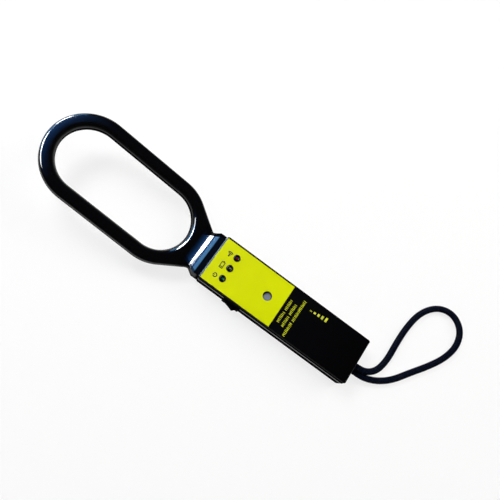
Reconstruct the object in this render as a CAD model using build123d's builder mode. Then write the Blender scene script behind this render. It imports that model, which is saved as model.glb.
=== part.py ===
from build123d import *
import os
from math import cos, pi, radians, sin, tan

# Handheld metal detector: an oval search head on a box handle, with a rocker switch on its side,
# three lamps and a sounder under the label, and a wrist cord at the end.
# Millimetres. +X runs from the head to the handle's end, +Y to the side away from the switch,
# +Z out of the label. The origin is on the resting surface, under the middle of the detector.

# Handle box: a deep tray with a shallow cover screwed on from below
box_length = 185.0
tray_width = 52.5
cover_width = 51.9
box_height = 25.0
parting_height = 16.8
tray_wall = 2.2
cover_wall = 2.0
floor = 3.0
roof = 2.2
corner_round = 2.0
inner_corner_round = 1.0
base_round = 1.8
top_round = 0.9
lip_depth = 1.3
lip_thickness = 1.25
lip_gap = 0.2
lip_end_gap = 1.0

# Label on the cover: a yellow front part and a black rear part
label_width = 50.0
label_thickness = 0.2
label_margin = 1.5
label_division = 85.2

# Search head: a flat tube round an oval opening, pitched up from the handle
head_pitch = radians(10.5)
head_root_height = 9.1
loop_radius = 39.9
loop_straight = 87.3
loop_near_centre = 67.5
tube_width = 14.8
tube_height = 13.0
tube_round = 5.0
rim_round = 3.0
crown_width = 6.0
crown_drop = 0.8
crown_blend = 46.0
tube_wall = 2.2
taper_angle = 33.0
neck_half_width = 22.7
waist_round = 8.0

# Collar where the head meets the handle, with a saddle above and a foot below
collar_gap = 0.2
collar_half_width = 25.2
ridge_height = 23.6
ridge_length = 6.6
foot_height = 1.2
foot_length = 10.5
saddle_start = 26.8
flare_start = 7.5
flare_half_width = 18.5
flare_overlap = 1.0
saddle_sink = 0.3

# Tail of the head inside the tray
tail_length = 15.0
tail_half_width = 20.4
tail_clearance = 0.2
lead_channel_width = 9.0
lead_channel_height = 6.0

# Search coil and its lead
coil_section = 3.4
coil_lead_radius = 1.5
coil_lead_bend = 2.0
coil_lead_straight = 4.0
coil_lead_station = 22.5
coil_lead_rise = 3.5

# Screws
screw_radius = 1.45
screw_pilot = 1.5
screw_clearance = 1.6
screw_head_radius = 2.8
screw_head_height = 1.7
screw_recess_radius = 3.1
screw_recess_depth = 2.0
screw_slot_width = 0.8
screw_slot_depth = 0.9
screw_slot_share = 0.7
boss_radius = 3.2
case_screw_stations = (20.0, 176.0)
case_screw_half_gap = 20.6
case_screw_length = 19.5
head_screw_station = 7.0
head_screw_half_gap = 13.0
head_screw_length = 12.5

# Circuit board on posts
board_start = 15.0
board_end = 106.0
board_half_width = 17.2
board_height = 10.4
board_thickness = 1.6
board_notch = (30.5, 54.5, -5.5)
post_radius = 2.6
post_pilot = 1.1
board_screw_radius = 1.05
board_screw_clearance = 1.3
board_screw_head_radius = 2.2
board_screw_head_height = 1.6
board_screw_length = 7.0
board_screw_stations = ((18.5, 6.5), (102.0, 13.5))

# Parts on the board: stations and y, with radius and height where they differ
chip_leg_pitch = 2.54
chip_half_width = 3.2
chip_lift = 0.5
chip_height = 3.3
chip_end = 0.6
chip_leg = (0.5, 0.7, 2.2)
chip_row_gap = 6.9
detector_chip_place = (42.0, 6.0)
detector_chip_legs = 7
driver_chip_place = (86.0, 5.0)
driver_chip_legs = 4
capacitors = ((95.0, -11.0, 4.0, 9.0), (86.0, -9.0, 3.1, 7.5), (56.5, 12.5, 3.1, 7.5))
resistors = ((30.0, 13.5), (38.5, 13.5), (47.0, 13.5), (80.0, 14.0), (88.5, 14.0))
resistor_radius = 1.1
resistor_half_length = 3.0
resistor_lift = 1.5
resistor_foot_radius = 0.35
resistor_foot_inset = 0.4

# Lamps in bezels
lamp_station = 19.2
lamp_gap = 13.0
lamp_radius = 1.5
lamp_bore = 1.6
lamp_flange_radius = 1.9
lamp_flange_thickness = 1.0
lamp_inset = 0.2
lamp_leg_radius = 0.25
lamp_leg_half_gap = 1.27
bezel_barrel_radius = 2.7
bezel_flange_radius = 3.6
bezel_barrel_length = 5.0
bezel_flange_height = 1.1
bezel_rim_radius = 3.0
bezel_mouth_radius = 2.5
bezel_cone_depth = 1.2

# Sounder
sounder_station = 66.8
sounder_hole_radius = 5.0
sounder_radius = 8.5
sounder_height = 10.0
sounder_wall = 0.9
sounder_disc_radius = 7.5
sounder_disc_thickness = 0.3
sounder_disc_depth = 0.6

# Rocker switch in the tray's near wall
switch_station = 42.5
switch_height = 9.4
switch_bezel = (20.4, 13.6, 1.6)
switch_body_size = (18.0, 11.6)
switch_body_depth = 13.6
switch_cutout_gap = 0.1
switch_bezel_round = 0.8
rocker_pivot_depth = 2.25
rocker_radius = 7.8
rocker_half_height = 4.4
rocker_side_gap = 0.2
rocker_round_gap = 0.3
rocker_pin_radius = 1.2
rocker_pin_gap = 0.05
rocker_pin_reach = 5.4
rocker_raised_corner = 60.0
rocker_low_corner = 150.0
rocker_flank = 45.0
rocker_dip = 5.3
rocker_edge_round = 0.4
terminal_size = (0.8, 6.4, 4.8)
terminal_half_gap = 5.0

# Nine-volt battery in its bay, and the sliding door below it
battery_start = 119.5
battery_length = 46.2
battery_half_width = 13.25
battery_height = 17.5
battery_round = 1.5
battery_gap = 0.1
battery_stud_radius = 3.0
battery_socket_radius = 4.2
battery_terminal_length = 2.4
battery_terminal_half_gap = 6.35
snap_size = (4.2, 25.0, 11.0)
snap_pocket_gap = 0.15
snap_round = 2.0
bay_start = 112.5
bay_end = 167.6
bay_half_width = 13.5
bay_wall = 1.5
bay_height = 10.0
door_start = 109.0
door_half_width = 16.0
door_bottom = 0.2
door_thickness = 1.4
door_gap = 0.2
door_travel = 10.0
tongue_stations = (116.0, 155.0)
tongue_length = 9.0
tongue_reach = 1.0
tongue_bottom = 0.8
tongue_thickness = 0.6
tongue_gap = 0.15
door_ridge_count = 6
door_ridge_pitch = 2.6
door_ridge_width = 1.2
door_ridge_depth = 0.5
door_ridge_length = 18.0
door_ridge_start = 160.0

# Charging socket for a 5.5 mm barrel plug
socket_y = 11.5
socket_height = 11.5
socket_barrel_radius = 4.0
socket_barrel_gap = 0.05
socket_bore_radius = 2.8
socket_bore_depth = 9.5
socket_pin_radius = 1.0
socket_pin_inset = 1.0
socket_body = (10.8, 9.0, 9.0)
socket_lug = (1.6, 1.2, 2.4)
socket_lug_half_gap = 2.5

# Wrist cord: both legs leave through one grommet and are knotted inside
cord_radius = 2.95
cord_hole_radius = 3.0
grommet_y = -3.65
grommet_height = 9.9
grommet_radius = 6.55
grommet_flange_radius = 7.4
grommet_inner_flange_radius = 6.85
grommet_flange = 0.8
cord_leg_offset = (2.3, 2.0)
knot_radius = 6.2
knot_length = 9.0
knot_round = 3.4
knot_inset = 4.0
cord_rest_height = 3.0

cord_arc_share = 0.45

# Leads inside the box: radius, bends and the places where they turn
lead_radius = 0.7
battery_lead_bend = 1.6
battery_lead_half_gap = 5.0
battery_lead_lift = 3.6
battery_lead_stations = (110.5, 108.0, 100.5)
battery_lead_arch = 4.0
switch_lead_bend = 1.2
switch_lead_height = 8.2
switch_lead_y = -2.5
charge_lead_bend = 1.4
charge_lead_height = 15.0
charge_lead_run_y = 19.5
charge_lead_board_y = 14.0
charge_lead_half_gap = 1.2
charge_lead_stations = (164.0, 112.0, 96.0)

# Overall length: the far end of the pitched head's rounded edge to the handle's end
outer_radius = loop_radius + tube_width / 2
inner_radius = loop_radius - tube_width / 2
loop_far_centre = loop_near_centre + loop_straight
tip_middle = loop_far_centre + outer_radius - tube_round
tip_rise = tube_height / 2 - tube_round
head_reach = tip_middle * cos(head_pitch) + tip_rise * sin(head_pitch) + tube_round
overall_length = head_reach + box_length

box_rear = overall_length / 2
box_front = box_rear - box_length
box_middle = (box_front + box_rear) / 2
label_front = box_front + label_margin
cover_inset = (tray_width - cover_width) / 2
cover_top = box_height - label_thickness
cover_inside = cover_top - roof
board_top = board_height + board_thickness

head_plane = Plane(
    origin=(box_front, 0, head_root_height),
    x_dir=(cos(head_pitch), 0, -sin(head_pitch)),
    z_dir=(sin(head_pitch), 0, cos(head_pitch)),
)


def head_faces(form):
    """The head's flat lower and upper faces."""
    across = Axis(head_plane.origin, head_plane.z_dir)
    flat = form.faces().filter_by(across).sort_by(across)
    return flat[0], flat[-1]


def ahead_of_box(edge):
    """Whether an edge's middle lies in front of the handle."""
    return edge.center().X < box_front + 1


def on_upper_rim(edge):
    """Whether an edge runs along the top of the head's outer wall."""
    heights = [head_plane.to_local_coords(edge @ share).Z for share in (0, 0.5, 1)]
    return all(abs(height - (tube_height / 2 - crown_drop)) < 0.01 for height in heights)


def along(station):
    """X of a place measured from the label's front edge."""
    return label_front + station


def both_sides(station, half_gap):
    """Two places on either side of the centre line."""
    return [(along(station), -half_gap), (along(station), half_gap)]


def block(low, high, mode=Mode.ADD):
    """An upright block between two corners, added to or cut from the piece in hand."""
    with BuildSketch(Plane.XY.offset(low[2])) as base:
        with Locations(((low[0] + high[0]) / 2, (low[1] + high[1]) / 2)):
            Rectangle(high[0] - low[0], high[1] - low[1])
    extrude(base.sketch, amount=high[2] - low[2], mode=mode)


def upright_rounds(places, radius, bottom, top, mode=Mode.ADD):
    """Upright round bars or holes at the given places."""
    with BuildSketch(Plane.XY.offset(bottom)) as discs:
        with Locations(*places):
            Circle(radius)
    extrude(discs.sketch, amount=top - bottom, mode=mode)


def end_rounds(places, radius, start, end, mode=Mode.ADD):
    """Round bars or holes along X at the given (y, z) places."""
    with BuildSketch(Plane.YZ.offset(start)) as discs:
        with Locations(*places):
            Circle(radius)
    extrude(discs.sketch, amount=end - start, mode=mode)


def lead(points, radius, bend):
    """A round lead along straight runs joined by arcs."""
    with BuildPart() as strand:
        with BuildLine():
            FilletPolyline(*points, radius=bend)
        with BuildSketch(Plane(origin=points[0], z_dir=Vector(*points[1]) - Vector(*points[0]))):
            Circle(radius)
        sweep()
    return strand.part


def screws(places, seat, length, shank, head_radius, head_height, head_up):
    """Round-headed screws with a cross slot, seated at one height."""
    way = 1 if head_up else -1
    head_end = seat + way * head_height
    slot_end = head_end - way * screw_slot_depth
    with BuildPart() as group:
        upright_rounds(places, head_radius, min(seat, head_end), max(seat, head_end))
        tip = seat - way * length
        upright_rounds(places, shank, min(seat, tip), max(seat, tip))
        with BuildSketch(Plane.XY.offset(min(slot_end, head_end))) as slots:
            with Locations(*places):
                Rectangle(2 * screw_slot_share * head_radius, screw_slot_width)
                Rectangle(screw_slot_width, 2 * screw_slot_share * head_radius)
        extrude(slots.sketch, amount=screw_slot_depth, mode=Mode.SUBTRACT)
    return group


def save(piece, name):
    """Label a finished piece and write it to its own file."""
    piece.part.label = name
    export_step(piece.part, f"parts/{name}.step")


os.makedirs("parts", exist_ok=True)

case_screw_places = [p for s in case_screw_stations for p in both_sides(s, case_screw_half_gap)]
head_screw_places = both_sides(head_screw_station, head_screw_half_gap)
board_screw_places = [p for s, gap in board_screw_stations for p in both_sides(s, gap)]
lamp_places = [(along(lamp_station), side * lamp_gap) for side in (-1, 0, 1)]
sounder_place = (along(sounder_station), 0)
switch_x = along(switch_station)
switch_wall_y = -tray_width / 2
switch_pivot_y = switch_wall_y + rocker_pivot_depth
cord_leg_places = [
    (grommet_y + side * cord_leg_offset[0], grommet_height + side * cord_leg_offset[1])
    for side in (1, -1)
]

# Collar and saddle: the side profile, trimmed to the plan that flares from the neck to the handle
paddle_rise = tan(head_pitch)
paddle_half = tube_height / 2 / cos(head_pitch)
saddle_middle = head_root_height + saddle_start * paddle_rise
saddle_low = (box_front - saddle_start, saddle_middle + paddle_half - saddle_sink)
under_low = (box_front - saddle_start, saddle_middle - paddle_half + saddle_sink)
ridge_edge = (box_front - ridge_length, ridge_height)
ridge_back = (box_front - collar_gap, ridge_height)
foot_edge = (box_front - foot_length, foot_height)
foot_back = (box_front - collar_gap, foot_height)
with BuildPart() as neck_form:
    with BuildSketch(Plane.XZ):
        with BuildLine():
            TangentArc(saddle_low, ridge_edge, tangent=(cos(head_pitch), -sin(head_pitch)))
            Polyline(ridge_edge, ridge_back, foot_back, foot_edge)
            TangentArc(under_low, foot_edge, tangent=(cos(head_pitch), -sin(head_pitch)))
            Line(under_low, saddle_low)
        make_face()
    extrude(amount=collar_half_width, both=True)
    with BuildSketch():
        with BuildLine():
            flare_end = (box_front - flare_start, collar_half_width)
            flare_root = (box_front - saddle_start - flare_overlap, flare_half_width)
            TangentArc(flare_root, flare_end, tangent=(1, 0))
            Polyline(flare_end, (box_front, collar_half_width), (box_front, 0))
            Line((flare_root[0], 0), flare_root)
            mirror(about=Plane.XZ)
        make_face()
    extrude(amount=box_height, mode=Mode.INTERSECT)

# Whole head: flat loop with rounded edges, collar, and tail, hollow for the coil and its lead
with BuildPart() as head_form:
    with BuildSketch(head_plane):
        with BuildLine():
            CenterArc((-loop_far_centre, 0), outer_radius, 90, 90)
            Line((-loop_far_centre, outer_radius), (-loop_near_centre, outer_radius))
            shoulder = CenterArc((-loop_near_centre, 0), outer_radius, 90 - taper_angle, taper_angle)
            shoulder_end = shoulder @ 0
            waist_x = shoulder_end.X + (shoulder_end.Y - neck_half_width) / tan(radians(taper_angle))
            FilletPolyline(
                shoulder_end,
                (waist_x, neck_half_width),
                (tail_length, neck_half_width),
                radius=waist_round,
            )
            Line((tail_length, neck_half_width), (tail_length, 0))
            mirror(about=Plane.XZ)
        make_face()
        with Locations((-(loop_near_centre + loop_far_centre) / 2, 0)):
            SlotCenterToCenter(loop_straight, 2 * inner_radius, mode=Mode.SUBTRACT)
    extrude(amount=tube_height / 2, both=True)
    lower_face, upper_face = head_faces(head_form)
    crowned = upper_face.outer_wire().edges().filter_by(ahead_of_box)
    chamfer(crowned, crown_width, crown_drop, reference=upper_face)
    lower_face, upper_face = head_faces(head_form)
    fillet(upper_face.outer_wire().edges().filter_by(ahead_of_box), crown_blend)
    rim = head_form.edges().filter_by(ahead_of_box).filter_by(on_upper_rim)
    fillet(rim, rim_round)
    lower_face, upper_face = head_faces(head_form)
    fillet(upper_face.inner_wires()[0].edges() + lower_face.edges().filter_by(ahead_of_box), tube_round)
    split(bisect_by=Plane.YZ.offset(box_front - collar_gap), keep=Keep.BOTTOM)
    add(neck_form.part)
    block(
        (box_front - ridge_length, -tail_half_width, floor),
        (box_front + tail_length, tail_half_width, parting_height - tail_clearance),
    )
    with BuildSketch(head_plane.offset(-tube_height / 2 + tube_wall)):
        with Locations((-(loop_near_centre + loop_far_centre) / 2, 0)):
            SlotCenterToCenter(loop_straight, 2 * (outer_radius - tube_wall))
            SlotCenterToCenter(loop_straight, 2 * (inner_radius + tube_wall), mode=Mode.SUBTRACT)
    extrude(amount=tube_height - 2 * tube_wall, mode=Mode.SUBTRACT)
    channel_start = -loop_near_centre + loop_radius
    with BuildSketch(head_plane.offset(-tube_height / 2 + tube_wall)):
        with Locations((channel_start / 2, 0)):
            Rectangle(-channel_start, lead_channel_width)
    extrude(amount=tube_height - 2 * tube_wall, mode=Mode.SUBTRACT)
    channel_half = lead_channel_height / 2
    block(
        (box_front - ridge_length, -lead_channel_width / 2, head_root_height - channel_half),
        (box_front + tail_length, lead_channel_width / 2, head_root_height + channel_half),
        mode=Mode.SUBTRACT,
    )

# Upper and lower half of the head, parted on the loop's middle plane
with BuildPart() as head_upper_shell:
    add(head_form.part)
    split(bisect_by=head_plane, keep=Keep.TOP)
    upright_rounds(head_screw_places, screw_pilot, 0, head_screw_length + floor, mode=Mode.SUBTRACT)

with BuildPart() as head_lower_shell:
    add(head_form.part)
    split(bisect_by=head_plane, keep=Keep.BOTTOM)
    upright_rounds(head_screw_places, screw_clearance, 0, head_screw_length + floor, mode=Mode.SUBTRACT)

# Search coil lying in the lower channel
coil_bottom = -tube_height / 2 + tube_wall
with BuildPart() as search_coil:
    with BuildSketch(head_plane.offset(coil_bottom)):
        with Locations((-(loop_near_centre + loop_far_centre) / 2, 0)):
            SlotCenterToCenter(loop_straight, 2 * loop_radius + coil_section)
            SlotCenterToCenter(loop_straight, 2 * loop_radius - coil_section, mode=Mode.SUBTRACT)
    extrude(amount=coil_section)

# Lead from the coil through the neck and tail to the board
lead_height = coil_bottom + coil_section / 2
lead_drop_x = along(coil_lead_station)
lead_start_x = channel_start + coil_section / 2
coil_lead_points = [
    tuple(head_plane.from_local_coords((lead_start_x, 0, lead_height))),
    tuple(head_plane.from_local_coords((lead_start_x + coil_lead_straight, 0, lead_height))),
    (box_front, 0, head_root_height),
    (lead_drop_x, 0, board_height - coil_lead_rise),
    (lead_drop_x, 0, board_height),
]
with BuildPart() as coil_lead:
    add(lead(coil_lead_points, coil_lead_radius, coil_lead_bend))

# Tray: floor, walls, screw bosses, board posts, battery bay and the openings in its walls
with BuildPart() as tray_form:
    with BuildSketch():
        with Locations((box_middle, 0)):
            RectangleRounded(box_length, tray_width, corner_round)
    extrude(amount=parting_height)
    fillet(tray_form.faces().sort_by(Axis.Z)[0].edges(), base_round)

door_recess = door_bottom + door_thickness + door_gap
with BuildPart() as case_tray:
    add(tray_form.part)
    with BuildSketch(Plane.XY.offset(floor)):
        with Locations((box_middle, 0)):
            RectangleRounded(
                box_length - 2 * tray_wall, tray_width - 2 * tray_wall, inner_corner_round
            )
    extrude(amount=parting_height - floor, mode=Mode.SUBTRACT)
    upright_rounds(case_screw_places, boss_radius, floor, parting_height)
    upright_rounds(board_screw_places, post_radius, floor, board_height)
    block(
        (along(bay_start) - bay_wall, -bay_half_width - bay_wall, floor),
        (along(bay_end), bay_half_width + bay_wall, floor + bay_height),
    )
    block(
        (along(bay_start), -bay_half_width, 0),
        (along(bay_end) - bay_wall, bay_half_width, floor + bay_height),
        mode=Mode.SUBTRACT,
    )
    upright_rounds(case_screw_places + head_screw_places, screw_recess_radius, 0, screw_recess_depth,
                   mode=Mode.SUBTRACT)
    upright_rounds(case_screw_places + head_screw_places, screw_clearance, 0, parting_height,
                   mode=Mode.SUBTRACT)
    upright_rounds(board_screw_places, post_pilot, floor, board_height, mode=Mode.SUBTRACT)
    block(
        (box_front, -tail_half_width - tail_clearance, floor),
        (box_front + tray_wall, tail_half_width + tail_clearance, parting_height),
        mode=Mode.SUBTRACT,
    )
    switch_half = switch_body_size[0] / 2 + switch_cutout_gap
    switch_half_height = switch_body_size[1] / 2 + switch_cutout_gap
    block(
        (switch_x - switch_half, switch_wall_y, switch_height - switch_half_height),
        (switch_x + switch_half, switch_wall_y + tray_wall, switch_height + switch_half_height),
        mode=Mode.SUBTRACT,
    )
    end_rounds([(grommet_y, grommet_height)], grommet_radius, box_rear - tray_wall, box_rear,
               mode=Mode.SUBTRACT)
    end_rounds([(socket_y, socket_height)], socket_barrel_radius + socket_barrel_gap,
               box_rear - tray_wall, box_rear, mode=Mode.SUBTRACT)
    block(
        (along(door_start) - door_gap, -door_half_width - door_gap, 0),
        (box_rear, door_half_width + door_gap, door_recess),
        mode=Mode.SUBTRACT,
    )
    groove_half = door_half_width + tongue_reach + door_gap
    for station in tongue_stations:
        block(
            (along(station) - door_gap, -groove_half, tongue_bottom - tongue_gap),
            (
                along(station) + tongue_length + door_travel + door_gap,
                groove_half,
                tongue_bottom + tongue_thickness + tongue_gap,
            ),
            mode=Mode.SUBTRACT,
        )
        block(
            (along(station) + door_travel - door_gap, -groove_half, 0),
            (
                along(station) + tongue_length + door_travel + door_gap,
                groove_half,
                tongue_bottom + tongue_thickness + tongue_gap,
            ),
            mode=Mode.SUBTRACT,
        )

# Cover: roof with lamp and sounder holes, side lips into the tray, and bosses for the screws
lip_outer = tray_width / 2 - tray_wall - lip_gap
lip_start = along(case_screw_stations[0]) + boss_radius + lip_end_gap
lip_end = along(case_screw_stations[1]) - boss_radius - lip_end_gap
with BuildPart() as case_cover:
    with BuildSketch(Plane.XY.offset(parting_height)):
        with Locations((box_middle, 0)):
            RectangleRounded(box_length - 2 * cover_inset, cover_width, corner_round)
    extrude(amount=cover_top - parting_height)
    fillet(case_cover.faces().sort_by(Axis.Z)[-1].edges(), top_round)
    with BuildSketch(Plane.XY.offset(parting_height)):
        with Locations((box_middle, 0)):
            RectangleRounded(
                box_length - 2 * cover_inset - 2 * cover_wall,
                cover_width - 2 * cover_wall,
                inner_corner_round,
            )
    extrude(amount=cover_inside - parting_height, mode=Mode.SUBTRACT)
    for side in (-1, 1):
        lip_sides = sorted((side * (lip_outer - lip_thickness), side * lip_outer))
        root_sides = sorted((side * (lip_outer - lip_thickness), side * (cover_width - cover_wall) / 2))
        block(
            (lip_start, lip_sides[0], parting_height - lip_depth),
            (lip_end, lip_sides[1], parting_height),
        )
        block(
            (lip_start, root_sides[0], parting_height),
            (lip_end, root_sides[1], parting_height + lip_depth),
        )
    upright_rounds(case_screw_places, boss_radius, parting_height, cover_inside)
    upright_rounds(case_screw_places, screw_pilot, parting_height, cover_inside, mode=Mode.SUBTRACT)
    upright_rounds(lamp_places, bezel_barrel_radius, cover_inside, cover_top, mode=Mode.SUBTRACT)
    upright_rounds([sounder_place], sounder_hole_radius, cover_inside, cover_top, mode=Mode.SUBTRACT)

# Label in two colours
with BuildPart() as label_yellow:
    block(
        (label_front, -label_width / 2, cover_top),
        (along(label_division), label_width / 2, box_height),
    )
    upright_rounds(lamp_places, bezel_barrel_radius, cover_top, box_height, mode=Mode.SUBTRACT)
    upright_rounds([sounder_place], sounder_hole_radius, cover_top, box_height, mode=Mode.SUBTRACT)

with BuildPart() as label_black:
    block(
        (along(label_division), -label_width / 2, cover_top),
        (box_rear - label_margin, label_width / 2, box_height),
    )


def lamp_bezel(place):
    """A flanged bezel with a coned mouth, pressed into the cover."""
    seat = Plane(origin=(place[0], place[1], box_height), x_dir=(1, 0, 0), z_dir=(0, -1, 0))
    with BuildPart() as bezel:
        with BuildSketch(seat):
            with BuildLine():
                Polyline(
                    (lamp_bore, -bezel_barrel_length),
                    (bezel_barrel_radius, -bezel_barrel_length),
                    (bezel_barrel_radius, 0),
                    (bezel_flange_radius, 0),
                    (bezel_flange_radius, bezel_flange_height / 2),
                    (bezel_rim_radius, bezel_flange_height),
                    (bezel_mouth_radius, bezel_flange_height),
                    (lamp_bore, bezel_flange_height - bezel_cone_depth),
                    close=True,
                )
            make_face()
        revolve(axis=Axis((place[0], place[1], 0), (0, 0, 1)))
    return bezel


def lamp(place):
    """A round lamp with a domed lens, a flange under the bezel and two legs to the board."""
    seat = Plane(origin=(place[0], place[1], box_height), x_dir=(1, 0, 0), z_dir=(0, -1, 0))
    flange_bottom = -bezel_barrel_length - lamp_flange_thickness
    dome_start = bezel_flange_height - lamp_inset - lamp_radius
    with BuildPart() as bulb:
        with BuildSketch(seat):
            with BuildLine():
                Polyline(
                    (0, flange_bottom),
                    (lamp_flange_radius, flange_bottom),
                    (lamp_flange_radius, -bezel_barrel_length),
                    (lamp_radius, -bezel_barrel_length),
                    (lamp_radius, dome_start),
                )
                CenterArc((0, dome_start), lamp_radius, 0, 90)
                Line((0, dome_start + lamp_radius), (0, flange_bottom))
            make_face()
        revolve(axis=Axis((place[0], place[1], 0), (0, 0, 1)))
        legs = [(place[0], place[1] + side * lamp_leg_half_gap) for side in (-1, 1)]
        upright_rounds(legs, lamp_leg_radius, board_top, box_height + flange_bottom)
    return bulb


# Sounder: a cup on the board with a metal disc in its rim
sounder_top = board_top + sounder_height
disc_bottom = sounder_top - sounder_disc_depth
with BuildPart() as sounder_body:
    upright_rounds([sounder_place], sounder_radius, board_top, sounder_top)
    upright_rounds([sounder_place], sounder_radius - 2 * sounder_wall, board_top + sounder_wall, sounder_top,
                   mode=Mode.SUBTRACT)
    upright_rounds([sounder_place], sounder_radius - sounder_wall, disc_bottom, sounder_top,
                   mode=Mode.SUBTRACT)

with BuildPart() as sounder_disc:
    upright_rounds([sounder_place], sounder_disc_radius, disc_bottom, disc_bottom + sounder_disc_thickness)

# Circuit board with a notch for the switch
with BuildPart() as main_board:
    block(
        (along(board_start), -board_half_width, board_height),
        (along(board_end), board_half_width, board_top),
    )
    block(
        (along(board_notch[0]), -board_half_width, board_height),
        (along(board_notch[1]), board_notch[2], board_top),
        mode=Mode.SUBTRACT,
    )
    upright_rounds(board_screw_places, board_screw_clearance, board_height, board_top, mode=Mode.SUBTRACT)


def chip(place, legs_per_side):
    """A dual in-line chip standing on its legs."""
    x = along(place[0])
    y = place[1]
    half_length = legs_per_side * chip_leg_pitch / 2 + chip_end
    body_bottom = board_top + chip_lift
    with BuildPart() as package:
        block(
            (x - half_length, y - chip_half_width, body_bottom),
            (x + half_length, y + chip_half_width, body_bottom + chip_height),
        )
        with BuildSketch(Plane.XY.offset(board_top)) as pins:
            with Locations((x, y)):
                with GridLocations(chip_leg_pitch, chip_row_gap, legs_per_side, 2):
                    Rectangle(chip_leg[0], chip_leg[1])
        extrude(pins.sketch, amount=chip_leg[2])
    return package


detector_chip = chip(detector_chip_place, detector_chip_legs)
driver_chip = chip(driver_chip_place, driver_chip_legs)

with BuildPart() as board_capacitors:
    for station, y, radius, height in capacitors:
        upright_rounds([(along(station), y)], radius, board_top, board_top + height)

with BuildPart() as board_resistors:
    foot_reach = resistor_half_length - resistor_foot_inset
    for station, y in resistors:
        x = along(station)
        end_rounds([(y, board_top + resistor_lift)], resistor_radius, x - resistor_half_length,
                   x + resistor_half_length)
        upright_rounds([(x - foot_reach, y), (x + foot_reach, y)], resistor_foot_radius, board_top,
                       board_top + resistor_lift)

board_screws = screws(board_screw_places, board_top, board_screw_length, board_screw_radius,
                      board_screw_head_radius, board_screw_head_height, True)
case_screws = screws(case_screw_places, screw_recess_depth, case_screw_length, screw_radius,
                     screw_head_radius, screw_head_height, False)
head_screws = screws(head_screw_places, screw_recess_depth, head_screw_length, screw_radius,
                     screw_head_radius, screw_head_height, False)

# Rocker switch: bezel and body with a round pocket, and the rocker on its pin
pocket_radius = rocker_radius + rocker_round_gap
pocket_half_height = rocker_half_height + rocker_side_gap
switch_pivot = (switch_x, switch_pivot_y)
with BuildPart() as switch_body:
    block(
        (
            switch_x - switch_bezel[0] / 2,
            switch_wall_y - switch_bezel[2],
            switch_height - switch_bezel[1] / 2,
        ),
        (switch_x + switch_bezel[0] / 2, switch_wall_y, switch_height + switch_bezel[1] / 2),
    )
    fillet(switch_body.faces().sort_by(Axis.Y)[0].edges(), switch_bezel_round)
    block(
        (
            switch_x - switch_body_size[0] / 2,
            switch_wall_y,
            switch_height - switch_body_size[1] / 2,
        ),
        (
            switch_x + switch_body_size[0] / 2,
            switch_wall_y + switch_body_depth,
            switch_height + switch_body_size[1] / 2,
        ),
    )
    upright_rounds([switch_pivot], pocket_radius, switch_height - pocket_half_height,
                   switch_height + pocket_half_height, mode=Mode.SUBTRACT)
    upright_rounds([switch_pivot], rocker_pin_radius + rocker_pin_gap,
                   switch_height - rocker_pin_reach - rocker_side_gap,
                   switch_height + rocker_pin_reach + rocker_side_gap, mode=Mode.SUBTRACT)


def rocker_point(angle, radius):
    """Point on the rocker, at an angle turned from +X towards the outside of the box."""
    return (switch_x + radius * cos(radians(angle)), switch_pivot_y - radius * sin(radians(angle)))


with BuildPart() as switch_rocker:
    with BuildSketch(Plane.XY.offset(switch_height - rocker_half_height)):
        with BuildLine():
            first = rocker_raised_corner - rocker_flank
            last = rocker_low_corner + rocker_flank
            middle_angle = (rocker_raised_corner + rocker_low_corner) / 2
            CenterArc(switch_pivot, rocker_radius, -rocker_raised_corner, rocker_flank)
            Polyline(
                rocker_point(rocker_raised_corner, rocker_radius),
                rocker_point(middle_angle, rocker_dip),
                rocker_point(rocker_low_corner, rocker_radius),
            )
            CenterArc(switch_pivot, rocker_radius, -last, rocker_flank)
            Line(rocker_point(last, rocker_radius), rocker_point(first, rocker_radius))
        make_face()
    extrude(amount=2 * rocker_half_height)
    rim = switch_rocker.faces().sort_by(Axis.Y)[0:2].edges().filter_by(Axis.Z, reverse=True)
    fillet(rim, rocker_edge_round)
    upright_rounds([switch_pivot], rocker_pin_radius, switch_height - rocker_pin_reach,
                   switch_height + rocker_pin_reach)

terminal_start = switch_wall_y + switch_body_depth
with BuildPart() as switch_terminals:
    for side in (-1, 1):
        x = switch_x + side * terminal_half_gap
        block(
            (x - terminal_size[0] / 2, terminal_start, switch_height - terminal_size[2] / 2),
            (
                x + terminal_size[0] / 2,
                terminal_start + terminal_size[1],
                switch_height + terminal_size[2] / 2,
            ),
        )

# Battery, its snap connector, and the leads between the snap and the board
battery_bottom = door_bottom + door_thickness + battery_gap
battery_middle = battery_bottom + battery_height / 2
battery_front = along(battery_start)
stud_place = (-battery_terminal_half_gap, battery_middle)
socket_place = (battery_terminal_half_gap, battery_middle)
with BuildPart() as battery:
    block(
        (battery_front, -battery_half_width, battery_bottom),
        (battery_front + battery_length, battery_half_width, battery_bottom + battery_height),
    )
    fillet(battery.edges().filter_by(Axis.X), battery_round)
    end_rounds([stud_place], battery_stud_radius, battery_front - battery_terminal_length, battery_front)
    end_rounds([socket_place], battery_socket_radius, battery_front - battery_terminal_length, battery_front)

snap_back = battery_front - battery_gap - snap_size[0]
snap_pocket_start = battery_front - battery_terminal_length - snap_pocket_gap
with BuildPart() as battery_snap:
    block(
        (snap_back, -snap_size[1] / 2, battery_middle - snap_size[2] / 2),
        (snap_back + snap_size[0], snap_size[1] / 2, battery_middle + snap_size[2] / 2),
    )
    fillet(battery_snap.edges().filter_by(Axis.X), snap_round)
    end_rounds([stud_place], battery_stud_radius + snap_pocket_gap, snap_pocket_start, battery_front,
               mode=Mode.SUBTRACT)
    end_rounds([socket_place], battery_socket_radius + snap_pocket_gap, snap_pocket_start, battery_front,
               mode=Mode.SUBTRACT)


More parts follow.
